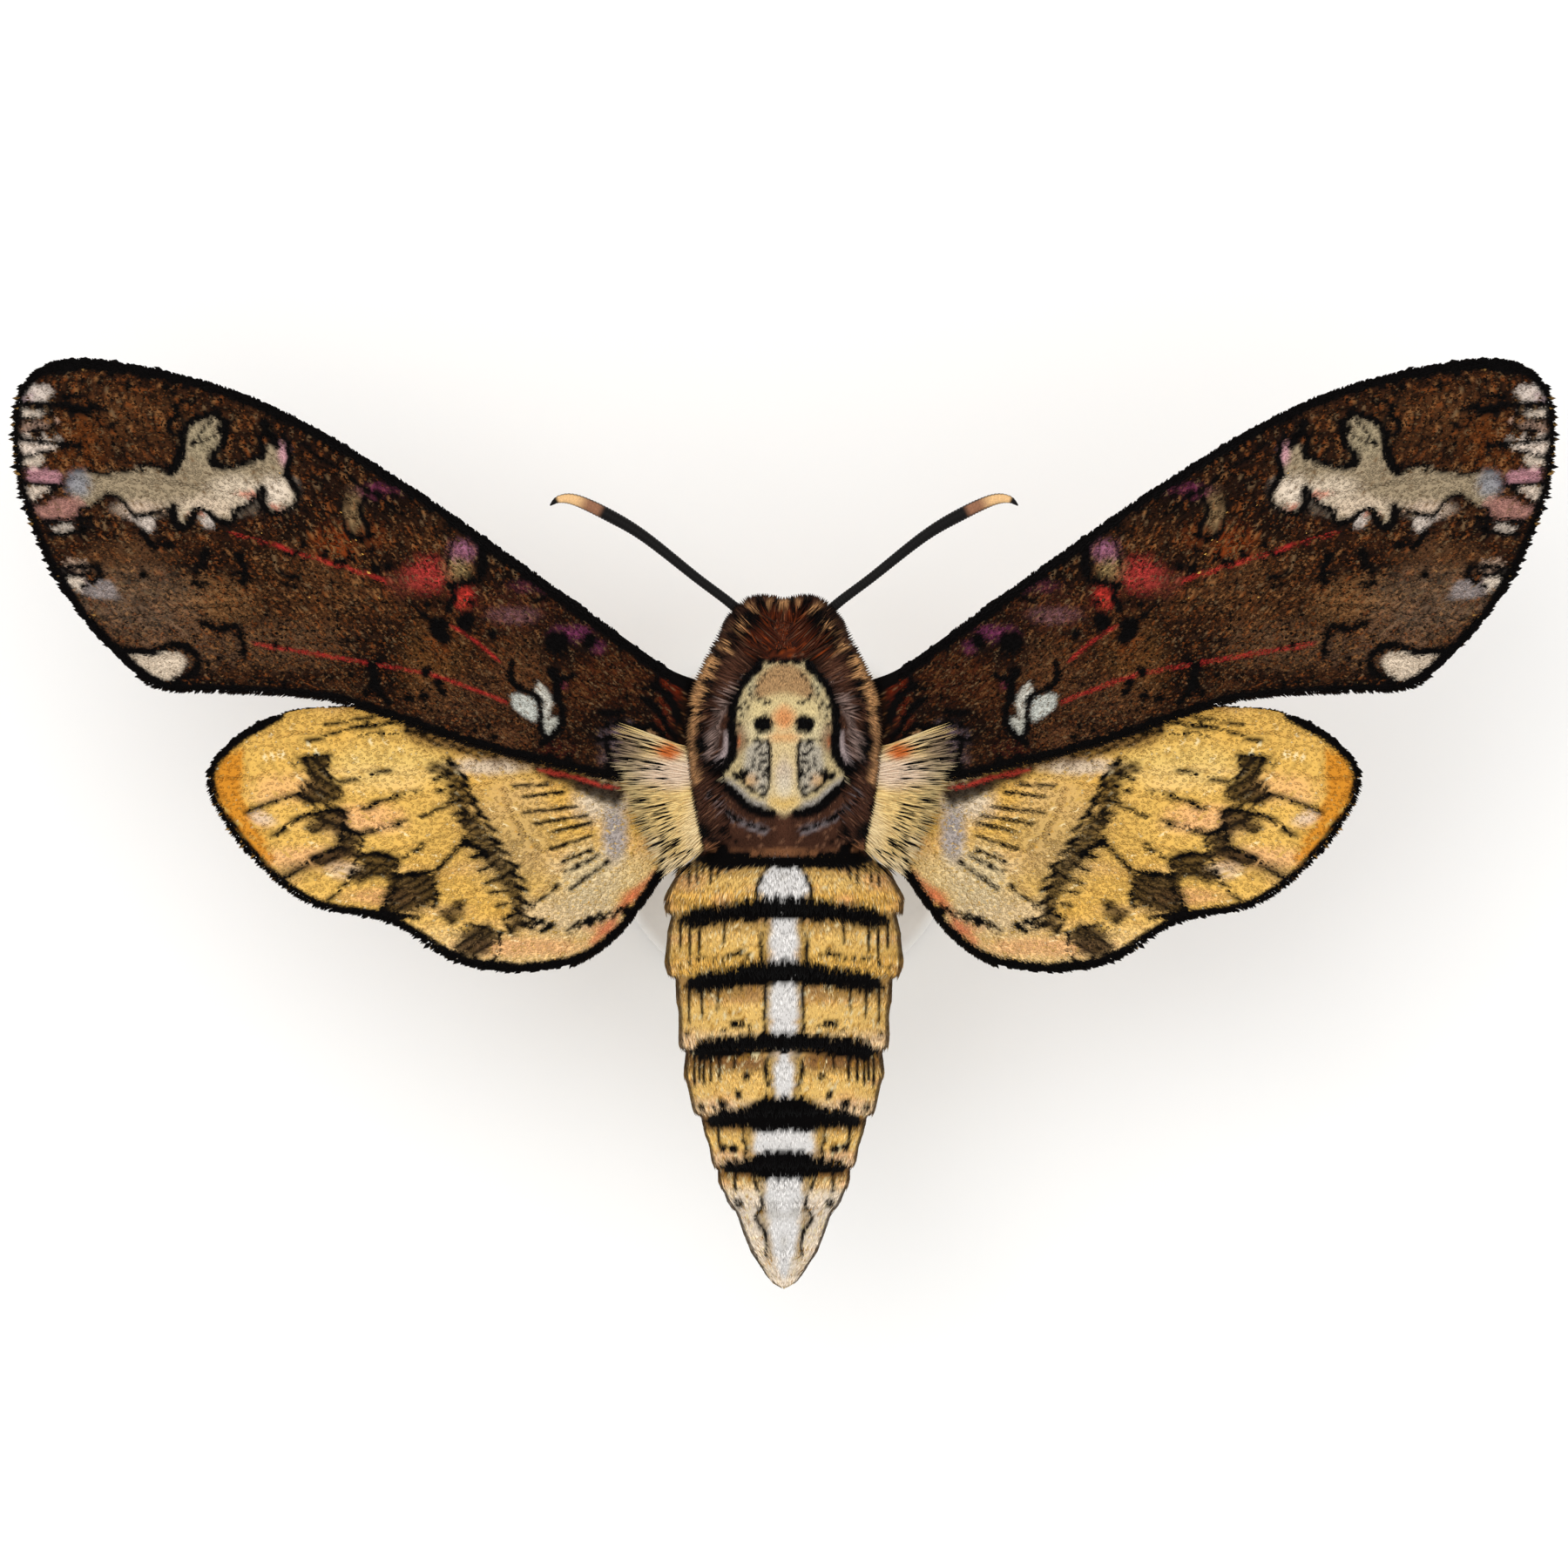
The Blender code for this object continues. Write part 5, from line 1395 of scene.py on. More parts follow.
def body_top(points):
    """0 at the belly, 1 at the back, by the height within the body's own section."""
    half_width, top, bottom = section(points[:, 1])
    return np.clip((points[:, 2] - AXIS + bottom) / (top + bottom), 0.0, 1.0)


make_skin()

# %% [markdown]
# The coat is set on that surface from arrays of roots, each with the way its hair lies. Hair
# on the head and thorax is a plush, about 1 mm long, swept back over the shoulders. On the
# abdomen it lies flat, with longer fringes along the rear edge of each ring. Roots near the
# eyes are left out, so the eyes look through the coat.

# %% Body coat
MARK_TRIM = 0.50
SPLAY = 0.12
CLUMPING = 0.55
ANGLE_STEP = 0.02
ALONG_STEP = 0.15
# How dark the locks are at their roots: painted shade deep in the coat.
PAINTED_ROOT_SHADE = {"body_hair": 0.75, "abdomen_hair": 0.90}


def body_frame(angle, along):
    """Roots, the way towards the tail, and the outward normal."""
    rear = body_points(angle, along - ALONG_STEP) - body_points(angle, along + ALONG_STEP)
    round_body = body_points(angle + ANGLE_STEP, along) - body_points(angle - ANGLE_STEP, along)
    return body_points(angle, along), unit(rear), unit(np.cross(rear, round_body))


def skin_place(angle, along):
    """A root's place on the unwrap of the skin, round the body and along it."""
    return np.column_stack((angle / (2.0 * math.pi), (along - TAIL) / (NOSE - TAIL)))


def spread_roots(count, first, last, random):
    """Even cover of the body between two places along it: more roots where it is wider."""
    along = random.uniform(last, first, count * 3)
    half_width, top, bottom = section(along)
    girth = half_width + top + bottom
    kept = along[random.random(len(along)) < girth / girth.max()][:count]
    guess = random.random(len(kept)) * 2.0 * math.pi
    return guess, kept


def clear_of_eyes(points, tips):
    kept = np.ones(len(points), dtype=bool)
    for side, sign in SIDES:
        centre = EYE_PLACE * mirror(sign)
        for places, swell in ((points, 1.10), (tips, 1.06)):
            kept &= np.linalg.norm((places - centre) / (EYE_SIZE * swell), axis=1) > 1.0
    return kept


def coat_on_body(name, count, first, last, hair, slot, seed):
    """Locks between two places along the body. hair is (length, width, lift in radians)."""
    random = np.random.default_rng(seed)
    angle, along = spread_roots(count, first, last, random)
    points, ahead, normal = body_frame(angle, along)
    clump = np.column_stack([mottle(points[:, 0] + points[:, 2], points[:, 1], 1.3, 70 + axis) - 0.5
                             for axis in range(3)])
    ahead = unit(ahead + clump * CLUMPING + random.normal(0.0, SPLAY, points.shape))
    on_mark = ease(body_top(points), 0.70, 0.80) * ease(along, -0.5, 1.0)
    length = hair[0] * random.uniform(0.7, 1.3, len(points))
    length = length * np.interp(along, (12.0, 15.5), (1.0, 0.62)) * (1.0 - MARK_TRIM * on_mark)
    lift = hair[2] * random.uniform(0.6, 1.4, len(points))
    tips = (points + ahead * length[:, None] * np.cos(lift)[:, None]
            + normal * length[:, None] * np.sin(lift)[:, None])
    kept = clear_of_eyes(points, tips)
    top = body_top(points)[kept]
    tone = 1.0 + random.uniform(-0.32, 0.24, len(top)) * (1.0 - 0.75 * ease(top, 0.55, 0.85))

    def painter(corners):
        """The body's marks; below its back, each lock is a little lighter or darker."""
        each = len(corners) // len(top)
        paint = paint_body(corners[:, 0], corners[:, 1], np.repeat(top, each), seed + 1)
        return paint.colour * np.repeat(tone, each)[:, None]

    size = np.column_stack((length, hair[1] * random.uniform(0.75, 1.25, len(points)), lift))
    make_coat(name, body_hair, slot, points[kept], ahead[kept], normal[kept], size[kept],
              painter, skin_place(angle, along)[kept], shade=PAINTED_ROOT_SHADE[slot])


# Each row: how many locks, between which places, their hair, the slot and the seed
BODY_COATS = (
    ("head_coat", 7500, 15.72, 12.0, (0.85, 0.14, 0.42), "body_hair", 81),
    ("thorax_front_coat", 18500, 12.6, 5.0, (1.15, 0.15, 0.42), "body_hair", 82),
    ("thorax_rear_coat", 18500, 5.2, -2.0, (1.15, 0.15, 0.42), "body_hair", 83),
    ("abdomen_front_coat", 18500, -1.6, -14.5, (0.95, 0.17, 0.24), "abdomen_hair", 84),
    ("abdomen_rear_coat", 16500, -14.3, -32.6, (0.85, 0.16, 0.24), "abdomen_hair", 85),
)
for row in BODY_COATS:
    coat_on_body(*row)

# %% Ring fringes, tail tuft and palp hair
RING_HAIR = 1.25
TAIL_TUFT = 420
TUFT_HAIR = 1.0
PALP_LOCKS = 1500


def ring_fringes():
    """Longer hair along the rear edge of each ring of the abdomen, and a tuft at the tail."""
    random = np.random.default_rng(91)
    angles, alongs = [], []
    for end in RING_ENDS[:-1]:
        count = int(70 * section(np.array([end]))[0][0])
        angles.append(random.random(count) * 2.0 * math.pi)
        alongs.append(end + random.uniform(0.05, 0.45, count))
    angles.append(random.random(TAIL_TUFT) * 2.0 * math.pi)
    alongs.append(random.uniform(-32.6, -30.8, TAIL_TUFT))
    angle, along = np.concatenate(angles), np.concatenate(alongs)
    points, ahead, normal = body_frame(angle, along)
    ahead = unit(ahead + random.normal(0.0, 0.07, points.shape))
    length = RING_HAIR * random.uniform(0.7, 1.3, len(points))
    length[-TAIL_TUFT:] = np.minimum(length[-TAIL_TUFT:], TUFT_HAIR)
    lift = random.uniform(0.12, 0.34, len(points))
    top = body_top(points)

    def painter(corners):
        each = len(corners) // len(top)
        return paint_body(corners[:, 0], corners[:, 1], np.repeat(top, each), 92).colour

    size = np.column_stack((length, np.full(len(points), 0.15), lift))
    make_coat("abdomen_fringes", body_hair, "abdomen_hair", points, ahead, normal, size, painter,
              skin_place(angle, along), steps=2)


def palp_hair():
    """Short brushed scales over the two palps, which hug the front of the head."""
    random = np.random.default_rng(93)
    points, normals, places = [], [], []
    for side, sign in SIDES:
        normal = unit(random.normal(0.0, 1.0, (PALP_LOCKS, 3)))
        normal = normal[normal[:, 1] > -0.25]
        points.append((normal * PALP_SIZE + PALP_PLACE) * mirror(sign))
        normals.append(unit(normal / PALP_SIZE) * mirror(sign))
        place_across = 0.5 + 0.25 * sign + 0.2 * normal[:, 0]
        places.append(np.column_stack((place_across, 0.97 + 0.02 * normal[:, 2])))
    points, normal, place = np.vstack(points), np.vstack(normals), np.vstack(places)
    ahead = np.tile((0.0, 0.35, 1.0), (len(points), 1)) + random.normal(0.0, 0.15, points.shape)
    length = random.uniform(0.4, 0.75, len(points))
    lift = random.uniform(0.15, 0.4, len(points))
    kept = clear_of_eyes(points, points + unit(ahead) * length[:, None])
    shade = ease(points[:, 2], AXIS - 3.4, AXIS - 0.4)[:, None]
    colour = linear("#C9A878") * (1.0 - shade) + linear("#4A2C1E") * shade
    size = np.column_stack((length, np.full(len(points), 0.14), lift))
    make_coat("palp_coat", body_hair, "body_hair", points[kept], ahead[kept], normal[kept],
              size[kept], colour[kept], place[kept])


ring_fringes()
palp_hair()

# %% [markdown]
# Seen from above, head and thorax have one smooth outline, like a hood. Longer hair makes it:
# it starts on the back, reaches over the eyes, the roots of the antennae and the wing hinges,
# and ends along the hood's rim. So each lock is laid out from its tip, and its root is found by
# going back along it to the skin.

# %% Hood rim
# Each row: how far out and along the rim is, its height over the axis, and the locks' length
HOOD_RIM = ((0.0, 16.55, 2.1, 1.8), (1.5, 16.80, 3.0, 2.3), (2.7, 16.55, 4.3, 2.8),
            (3.6, 15.85, 4.9, 3.1), (4.3, 15.0, 4.2, 3.0), (4.85, 13.95, 3.3, 2.8),
            (5.4, 12.9, 3.0, 2.4), (5.9, 11.9, 3.3, 2.3), (6.4, 10.9, 3.6, 2.2),
            (6.9, 9.6, 3.6, 2.1), (7.15, 8.2, 3.6, 2.0), (7.2, 6.6, 3.6, 2.0), (7.0, 4.8, 3.6, 1.9),
            (6.8, 3.0, 3.6, 1.9), (6.5, 1.0, 3.6, 1.8), (6.1, -0.8, 3.5, 1.8), (5.9, -1.9, 3.4, 1.7))
RIM_LOCKS = 7200
RIM_WIDTH = 0.15
RIM_STEPS = 3
RIM_DEPTH = 1.3
RIM_EDGE = 0.16
ABOVE_SIDES = 1.4
SWEPT_BACK = 0.7


def corner_shares(steps):
    """Each corner's share along a lock, corner by corner."""
    return np.array([share for share, taper in blade_sections(steps) for corner in range(3)] + [1.0])


def hood_rim():
    random = np.random.default_rng(99)
    rim = smooth_line(HOOD_RIM, 0.2)
    run = unit(np.gradient(rim[:, :2], axis=0))
    chosen = random.integers(0, len(rim), RIM_LOCKS)
    tips, back = rim[chosen], ease(10.5 - rim[chosen, 1], 0.0, 4.0)
    outward = np.column_stack((-run[chosen, 1], run[chosen, 0]))
    outward[:, 1] -= SWEPT_BACK * back
    outward = unit(outward + random.normal(0.0, 0.12, outward.shape))
    inset = random.random(RIM_LOCKS) ** 2 * RIM_DEPTH
    plan = tips[:, :2] - outward * inset[:, None]
    start = plan - outward * (tips[:, 3] * random.uniform(0.8, 1.1, RIM_LOCKS))[:, None]
    start[:, 0] = np.maximum(start[:, 0], 0.05)
    half_width, top, bottom = section(start[:, 1])
    height = top * np.sqrt(np.clip(1.0 - (start[:, 0] / half_width) ** 2, 0.05, 1.0))
    roots = np.column_stack((start, AXIS + height - 0.05))
    ends = np.column_stack((plan, AXIS + tips[:, 2] + random.uniform(-0.15, 0.25, RIM_LOCKS)))
    flip = np.ones((RIM_LOCKS, 3))
    flip[:, 0] = np.where(random.random(RIM_LOCKS) < 0.5, -1.0, 1.0)
    ahead = ends - roots
    length = np.linalg.norm(ahead, axis=1)
    normal = np.tile((0.0, 0.0, 1.0), (RIM_LOCKS, 1))
    normal -= unit(ahead) * (unit(ahead)[:, 2])[:, None]
    size = np.column_stack((length, RIM_WIDTH * random.uniform(0.8, 1.2, RIM_LOCKS),
                            random.uniform(0.10, 0.30, RIM_LOCKS)))
    place = np.column_stack((0.25 + 0.2 * flip[:, 0] * start[:, 0] / 7.0,
                             np.clip((start[:, 1] - TAIL) / (NOSE - TAIL), 0.0, 0.999)))

    def painter(corners):
        """The marks of the body, with dark tips on the locks that end at the rim."""
        top = np.full(len(corners), ABOVE_SIDES)
        paint = paint_body(corners[:, 0], corners[:, 1], top, 100)
        at_tip = corner_shares(RIM_STEPS) > 0.9
        paint.lay(BLACK_SCALE, ((inset < RIM_EDGE)[:, None] & at_tip).ravel() * 0.85)
        return paint.colour

    make_coat("hood_rim_coat", body_hair, "body_hair", roots * flip, ahead * flip, normal * flip,
              size, painter, place, steps=RIM_STEPS, bend=1.0)


hood_rim()

# %% [markdown]
# A fan of long cream hair covers each wing root. Its strands leave the side of the thorax and
# lie over the wings, longest in front and swept back along the hindwing. The outer ends of
# some strands are black, which makes a ring of dark strokes.

# %% Wing root fans
# Each tier: place of its first and last strand, length, height over the wing, and how many
FAN_TIERS = ((5.1, -0.8, 6.3, 0.45, 2100), (4.8, -0.7, 4.9, 0.70, 1700),
             (4.4, -0.5, 3.0, 0.90, 1300))
FAN_ANGLES = (15.0, -42.0)
FAN_ROOT = 6.3
REAR_SHORTER = 0.36
FAN_STEPS = 4
BLACK_ENDED = 0.25
BLACK_FROM = 0.50


def root_fan(side, sign):
    random = np.random.default_rng(95)
    roots, ahead, lengths = [], [], []
    for front, rear, length, lift, count in FAN_TIERS:
        share = random.random(count)
        angle = np.radians(FAN_ANGLES[0] + (FAN_ANGLES[1] - FAN_ANGLES[0]) * share
                           + random.normal(0.0, 4.0, count))
        out = FAN_ROOT + random.uniform(-0.4, 0.8, count) - 0.8 * share
        along = front + (rear - front) * share + random.normal(0.0, 0.25, count)
        plan = np.column_stack((np.maximum(out, WING_HINGE), along))
        height = wing_height(FOREWING, plan, veined=False) + lift * random.uniform(0.5, 1.15, count)
        roots.append(np.column_stack((out, along, height)))
        ahead.append(np.column_stack((np.cos(angle), np.sin(angle), np.full(count, 0.13))))
        lengths.append(length * random.uniform(0.6, 1.0, count) * (1.0 - REAR_SHORTER * share))
    roots, ahead, length = np.vstack(roots), np.vstack(ahead), np.concatenate(lengths)
    dark = (random.random(len(roots)) < BLACK_ENDED) & (length > 2.6)
    size = np.column_stack((length, np.where(dark, 0.16, 0.14),
                            random.uniform(-0.03, 0.08, len(length))))

    def painter(corners):
        x, y = np.abs(corners[:, 0]), corners[:, 1]
        paint = Paint(x, y, "#FFDC92", 96)
        paint.lay("#FFEBC4", ease(mottle(x, y, 1.6, 97), 0.4, 0.9) * 0.7)
        paint.spot("#F6DCC8", (8.2, 3.9), (2.4, 1.1), 0.80, soft=0.6)
        paint.spot("#8E7468", (11.6, 5.6), (1.6, 1.3), 0.80, soft=0.5)
        paint.spot("#E0702A", (8.2, 5.4), (0.85, 0.60), 0.95, soft=0.4)
        paint.spot("#C6B488", (11.2, 0.8), (1.1, 3.4), 0.50, soft=0.6)
        ends = corner_shares(FAN_STEPS) > BLACK_FROM
        paint.lay(BLACK_SCALE, (dark[:, None] & ends).ravel() * 1.0)
        return paint.colour

    flip = mirror(sign)
    normal = np.tile((-0.15, 0.0, 1.0), (len(roots), 1))
    place = np.column_stack((np.full(len(roots), 0.5 - 0.45 * sign),
                             (roots[:, 1] - TAIL) / (NOSE - TAIL)))
    # The fan's strands are a little darker at their roots: painted shade.
    make_coat(f"wing_fan_{side}", body_hair, "body_hair", roots * flip, ahead * flip, normal * flip,
              size, painter, np.clip(place, 0.0, 0.999), steps=FAN_STEPS, shade=0.97, bend=0.8)


for side, sign in SIDES:
    root_fan(side, sign)

# %% [markdown]
# Antennae, legs and tongue are tubes of cuticle. Each starts as a sphere whose poles become
# its two ends, and its rings are set along a curve, so the tube is closed and its thickness
# can follow the real thing: an antenna is a chain of about eighty short joints that thickens
# to a club and ends in a hook.

# %% Tubes of cuticle
BLUNT_ENDS = 40


def tube_frame(path, share, angle, swell):
    """Places and outward normals on a tube through rows of x, y, height above axis, radius."""
    rows = smooth_line(path, 0.25)
    rows[:, 2] += AXIS
    run = np.concatenate(([0.0], np.cumsum(np.linalg.norm(np.diff(rows[:, :3], axis=0), axis=1))))
    at = share * run[-1]
    middle = np.column_stack([np.interp(at, run, rows[:, axis]) for axis in range(3)])
    radius = np.interp(at, run, rows[:, 3]) * swell
    tangents = unit(np.gradient(rows[:, :3], axis=0))
    ahead = unit(np.column_stack([np.interp(at, run, tangents[:, axis]) for axis in range(3)]))
    side = unit(np.cross(ahead, np.array((0.05, 0.1, 1.0))))
    up = np.cross(side, ahead)
    normal = side * np.cos(angle)[:, None] + up * np.sin(angle)[:, None]
    return middle + normal * radius[:, None], normal, ahead


def edit_all(piece):
    """Open a piece in edit mode with all of it selected."""
    select_only(piece)
    bpy.ops.object.mode_set(mode="EDIT")
    bpy.ops.mesh.select_all(action="SELECT")


def make_tube(name, path, finish, slot, segments, rings, swell, painter, *replaced):
    """swell gives the thickness at a share along, painter the colour by share and normal."""
    tube, share, angle = add_ball(name, segments, rings)
    share = np.clip(share, 0.0, 1.0)
    rounded = np.sqrt(np.clip(1.0 - np.abs(share * 2.0 - 1.0) ** BLUNT_ENDS, 0.0, 1.0))
    points, normal, ahead = tube_frame(path, share, angle, swell(share) * rounded)
    set_points(tube.data, points)
    tube.data.update()
    edit_all(tube)
    bpy.ops.mesh.normals_make_consistent(inside=False)
    bpy.ops.object.mode_set(mode="OBJECT")
    set_pigment(tube.data, painter(share, normal))
    tube.data.shade_smooth()
    dress(tube, finish, slot, *replaced)
    return tube


def cuticle_finish(name, roughness, coat, pore):
    """Hardened insect skin: dark, satin, with fine pits."""
    finish, tree, shader = new_finish(name, Roughness=roughness, Coat_Weight=coat,
                                      Coat_Roughness=0.15, Specular_IOR_Level=0.12)
    place = {"Vector": (add_node(tree, "TexCoord"), "Object")}
    pits = add_node(tree, "TexVoronoi", {"Scale": 1.0 / (pore * MM)}, place)
    varied = vary_pigment(tree, (pits, "Distance"), 0.8, 1.25)
    relief = add_node(tree, "Bump", {"Strength": 0.5, "Distance": 0.2 * pore * MM},
                      {"Height": (pits, "Distance")})
    feed(tree, shader, {"Base Color": (varied, "Vector"), "Normal": (relief, "Normal")})
    return finish


antenna_cuticle = cuticle_finish("antenna_cuticle", 0.50, 0.01, 0.10)
leg_cuticle = cuticle_finish("leg_cuticle", 0.55, 0.0, 0.12)
ANTENNA_PATH = ((1.2, 13.2, 2.9, 0.40), (3.4, 15.6, 4.3, 0.37), (6.25, 17.8, 4.9, 0.36),
                (10.0, 20.75, 5.2, 0.41), (12.6, 22.3, 5.2, 0.47), (14.9, 23.35, 5.1, 0.42),
                (16.1, 23.4, 5.0, 0.28), (16.75, 22.95, 4.9, 0.10))
ANTENNA_JOINTS = 84


def antenna_swell(share):
    joint = (share * ANTENNA_JOINTS) % 1.0
    return 1.0 - 0.10 * np.exp(-(np.minimum(joint, 1.0 - joint) / 0.14) ** 2)


def antenna_paint(share, normal):
    dark = np.tile(linear("#0A0706"), (len(share), 1))
    tan = ease(share, 0.78, 0.81) * (1.0 - ease(share, 0.955, 0.97)) * ease(normal[:, 2], 0.50, 0.62)
    light = linear("#8E6248") + (linear("#E2B680") - linear("#8E6248")) * ease(share, 0.84, 0.90)[:, None]
    return dark + tan[:, None] * (light - dark)


for side, sign in SIDES:
    path = [(sign * row[0], *row[1:]) for row in ANTENNA_PATH]
    report(make_tube(f"antenna_{side}_shaft", path, antenna_cuticle, "antenna_cuticle", 18, 420,
                     antenna_swell, antenna_paint, f"antenna_{side}"))

# %% [markdown]
# The tongue is a short stout tube, strong enough to pierce a bee's comb. At rest it is coiled
# under the head between the palps, and fine rings run round it.

# %% Tongue
TONGUE_MIDDLE = (13.4, -5.6)
TONGUE_COIL = 1.8
TONGUE_TURNS = 1.12
TONGUE_TIGHTENING = 0.62
TONGUE_RADIUS = 0.4
TONGUE_RINGS = 380.0


def tongue_path():
    path = []
    for turn in np.linspace(-0.06, TONGUE_TURNS, 20):
        angle = 2.0 * math.pi * turn
        reach = TONGUE_COIL * (1.0 - TONGUE_TIGHTENING * turn / TONGUE_TURNS)
        path.append((0.0, TONGUE_MIDDLE[0] - reach * math.sin(angle),
                     TONGUE_MIDDLE[1] + reach * math.cos(angle),
                     TONGUE_RADIUS * (1.0 - 0.55 * max(turn, 0.0) / TONGUE_TURNS)))
    return path


report(make_tube("tongue_coil", tongue_path(), antenna_cuticle, "antenna_cuticle", 16, 260,
                 lambda share: 1.0 - 0.05 * (np.sin(share * TONGUE_RINGS) > 0.3),
                 lambda share, normal: linear("#4A2A18"), "tongue"))

# %% [markdown]
# The eyes are compound: thousands of hexagonal lenses 0.03 mm across, drawn at twice that so
# they just show as a grain in the gloss. The eye is almost black, with a brown glow.

# %% Eyes
EYE_LENS = 0.06
EYE_DETAIL = 5


def eye_finish():
    finish, tree, shader = new_finish("compound_eye_cornea", Roughness=0.34, Coat_Weight=0.10,
                                      Coat_Roughness=0.08, Specular_IOR_Level=0.18)
    place = {"Vector": (add_node(tree, "TexCoord"), "Object")}
    lenses = add_node(tree, "TexVoronoi", {"Scale": 1.0 / (EYE_LENS * MM), "Randomness": 0.25}, place)
    glow = add_node(tree, "TexNoise", {"Scale": 1.0 / (1.4 * MM)}, place)
    tone = add_node(tree, "ValToRGB", {"stops": ((0.35, "#1C0F09"), (0.75, "#4C2A18"))},
                    {"Fac": (glow, "Fac")})
    relief = add_node(tree, "Bump", {"Strength": 0.25, "Distance": 0.2 * EYE_LENS * MM},
                      {"Height": (lenses, "Distance")})
    feed(tree, shader, {"Base Color": (tone, "Color"), "Normal": (relief, "Normal")})
    return finish


cornea = eye_finish()
for side, sign in SIDES:
    deselect_all()
    bpy.ops.mesh.primitive_ico_sphere_add(subdivisions=EYE_DETAIL, radius=1.0)
    eye = bpy.context.object
    eye.name = f"eye_{side}_globe"
    set_points(eye.data, all_points(eye.data) * EYE_SIZE + EYE_PLACE * mirror(sign))
    eye.data.shade_smooth()
    dress(eye, cornea, "eye_cuticle", f"eye_{side}")
    report(eye)

# %% [markdown]
# The six legs are folded under the body. Thigh and shin are stout, and the foot has five short
# joints that end in two claws. Scales lie along them, dark with pale rings on the feet, and
# the shins carry spurs.

# %% Legs
# Each row: how far out and along, its height over the axis, and the leg's radius
LEG_PATHS = {
    "front": ((2.0, 9.8, -3.6, 1.15), (3.0, 9.5, -5.6, 1.0), (4.5, 8.6, -6.9, 0.7),
              (4.2, 10.4, -7.6, 0.62), (3.3, 12.4, -8.2, 0.45), (2.6, 13.6, -8.5, 0.32),
              (2.0, 14.7, -8.7, 0.22)),
    "mid": ((2.2, 6.4, -4.4, 1.2), (3.7, 5.6, -6.6, 1.0), (5.3, 4.2, -7.3, 0.75),
            (5.7, 1.4, -7.7, 0.62), (5.7, -1.6, -8.1, 0.42), (5.2, -4.4, -8.5, 0.32),
            (4.4, -7.2, -8.7, 0.22)),
    "hind": ((2.3, 2.9, -4.4, 1.2), (3.2, 1.5, -6.4, 1.0), (4.0, -0.8, -7.3, 0.75),
             (3.9, -3.6, -7.8, 0.62), (3.4, -7.0, -8.1, 0.42), (2.8, -10.6, -8.4, 0.32),
             (2.1, -14.4, -8.5, 0.22)),
}
# Spurs and claws: where each starts, and how far its point reaches from there
LEG_THORNS = {
    "front": ((2.0, 14.5, -8.7, 0.5, 0.8, -0.2), (2.0, 14.5, -8.7, -0.5, 0.8, -0.2)),
    "mid": ((5.68, -1.5, -8.1, 0.9, -1.4, -0.3), (5.68, -1.5, -8.1, -0.8, -1.5, -0.3),
            (4.4, -7.0, -8.7, 0.5, -0.9, -0.2), (4.4, -7.0, -8.7, -0.6, -0.8, -0.2)),
    "hind": ((3.42, -6.8, -8.1, 0.8, -1.5, -0.3), (3.42, -6.8, -8.1, -0.8, -1.5, -0.3),
             (2.1, -14.2, -8.5, 0.5, -0.9, -0.2), (2.1, -14.2, -8.5, -0.5, -0.9, -0.2)),
}
FOOT_START = 0.60
FOOT_JOINTS = 5
KNEE = 0.31
LEG_LOCKS = 1500


def foot_joint(share):
    """How many foot joints lie before a place on the leg."""
    return np.clip((share - FOOT_START) / (1.0 - FOOT_START), 0.0, 1.0) * FOOT_JOINTS


def leg_swell(share):
    """Joints pinch the leg at the knee and between the five foot joints."""
    foot = foot_joint(share)
    pinch = np.exp(-((foot - np.round(foot)) / 0.12) ** 2) * (share > FOOT_START - 0.02)
    knee = np.exp(-((share - KNEE) / 0.02) ** 2)
    return 0.86 * (1.0 - 0.28 * pinch - 0.12 * knee)


def leg_colour(share):
    pale = (foot_joint(share) % 1.0 > 0.72) * (share > FOOT_START) * 0.75
    dark = linear("#4A3224")
    return dark + pale[:, None] * (linear("#D9C49C") - dark)


def leg_coat(name, path, seed):
    random = np.random.default_rng(seed)
    share = random.uniform(0.0, 0.99, LEG_LOCKS) ** 0.85
    angle = random.uniform(0.0, 2.0 * math.pi, LEG_LOCKS)
    points, normal, ahead = tube_frame(path, share, angle, leg_swell(share))
    ahead = ahead + random.normal(0.0, 0.10, points.shape)
    length = np.interp(share, (0.0, 0.3, 0.6, 1.0), (0.95, 0.75, 0.5, 0.34))
    length = length * random.uniform(0.7, 1.3, LEG_LOCKS)
    size = np.column_stack((length, np.interp(share, (0.0, 1.0), (0.17, 0.11)),
                            random.uniform(0.12, 0.35, LEG_LOCKS)))
    colour = leg_colour(share) * random.uniform(0.7, 1.3, (LEG_LOCKS, 1))
    place = np.column_stack((share * 0.99, angle / (2.0 * math.pi)))
    make_coat(name, body_hair, "leg_scales", points, ahead, normal, size, colour, place)


for side, sign in SIDES:
    for pair, rows in LEG_PATHS.items():
        path = [(sign * row[0], *row[1:]) for row in rows]
        make_tube(f"leg_{pair}_{side}_cuticle", path, leg_cuticle, "leg_scales", 18, 170,
                  leg_swell, lambda share, normal: leg_colour(share) * 0.8, f"leg_{pair}_{side}")
        leg_coat(f"leg_{pair}_{side}_coat", path, 101 + len(pair))
        for number, row in enumerate(LEG_THORNS[pair]):
            start, reach = np.array(row[:3]), np.array(row[3:])
            thorn = [(*((start + reach * share) * (sign, 1.0, 1.0)), radius)
                     for share, radius in ((-0.1, 0.14), (0.4, 0.12), (0.8, 0.07), (1.0, 0.02))]
            make_tube(f"leg_{pair}_{side}_claw_{number}", thorn, antenna_cuticle, "leg_scales", 10, 24,
                      np.ones_like, lambda share, normal: linear("#1A120D"))
print("legs:", len(LEG_PATHS) * 2)

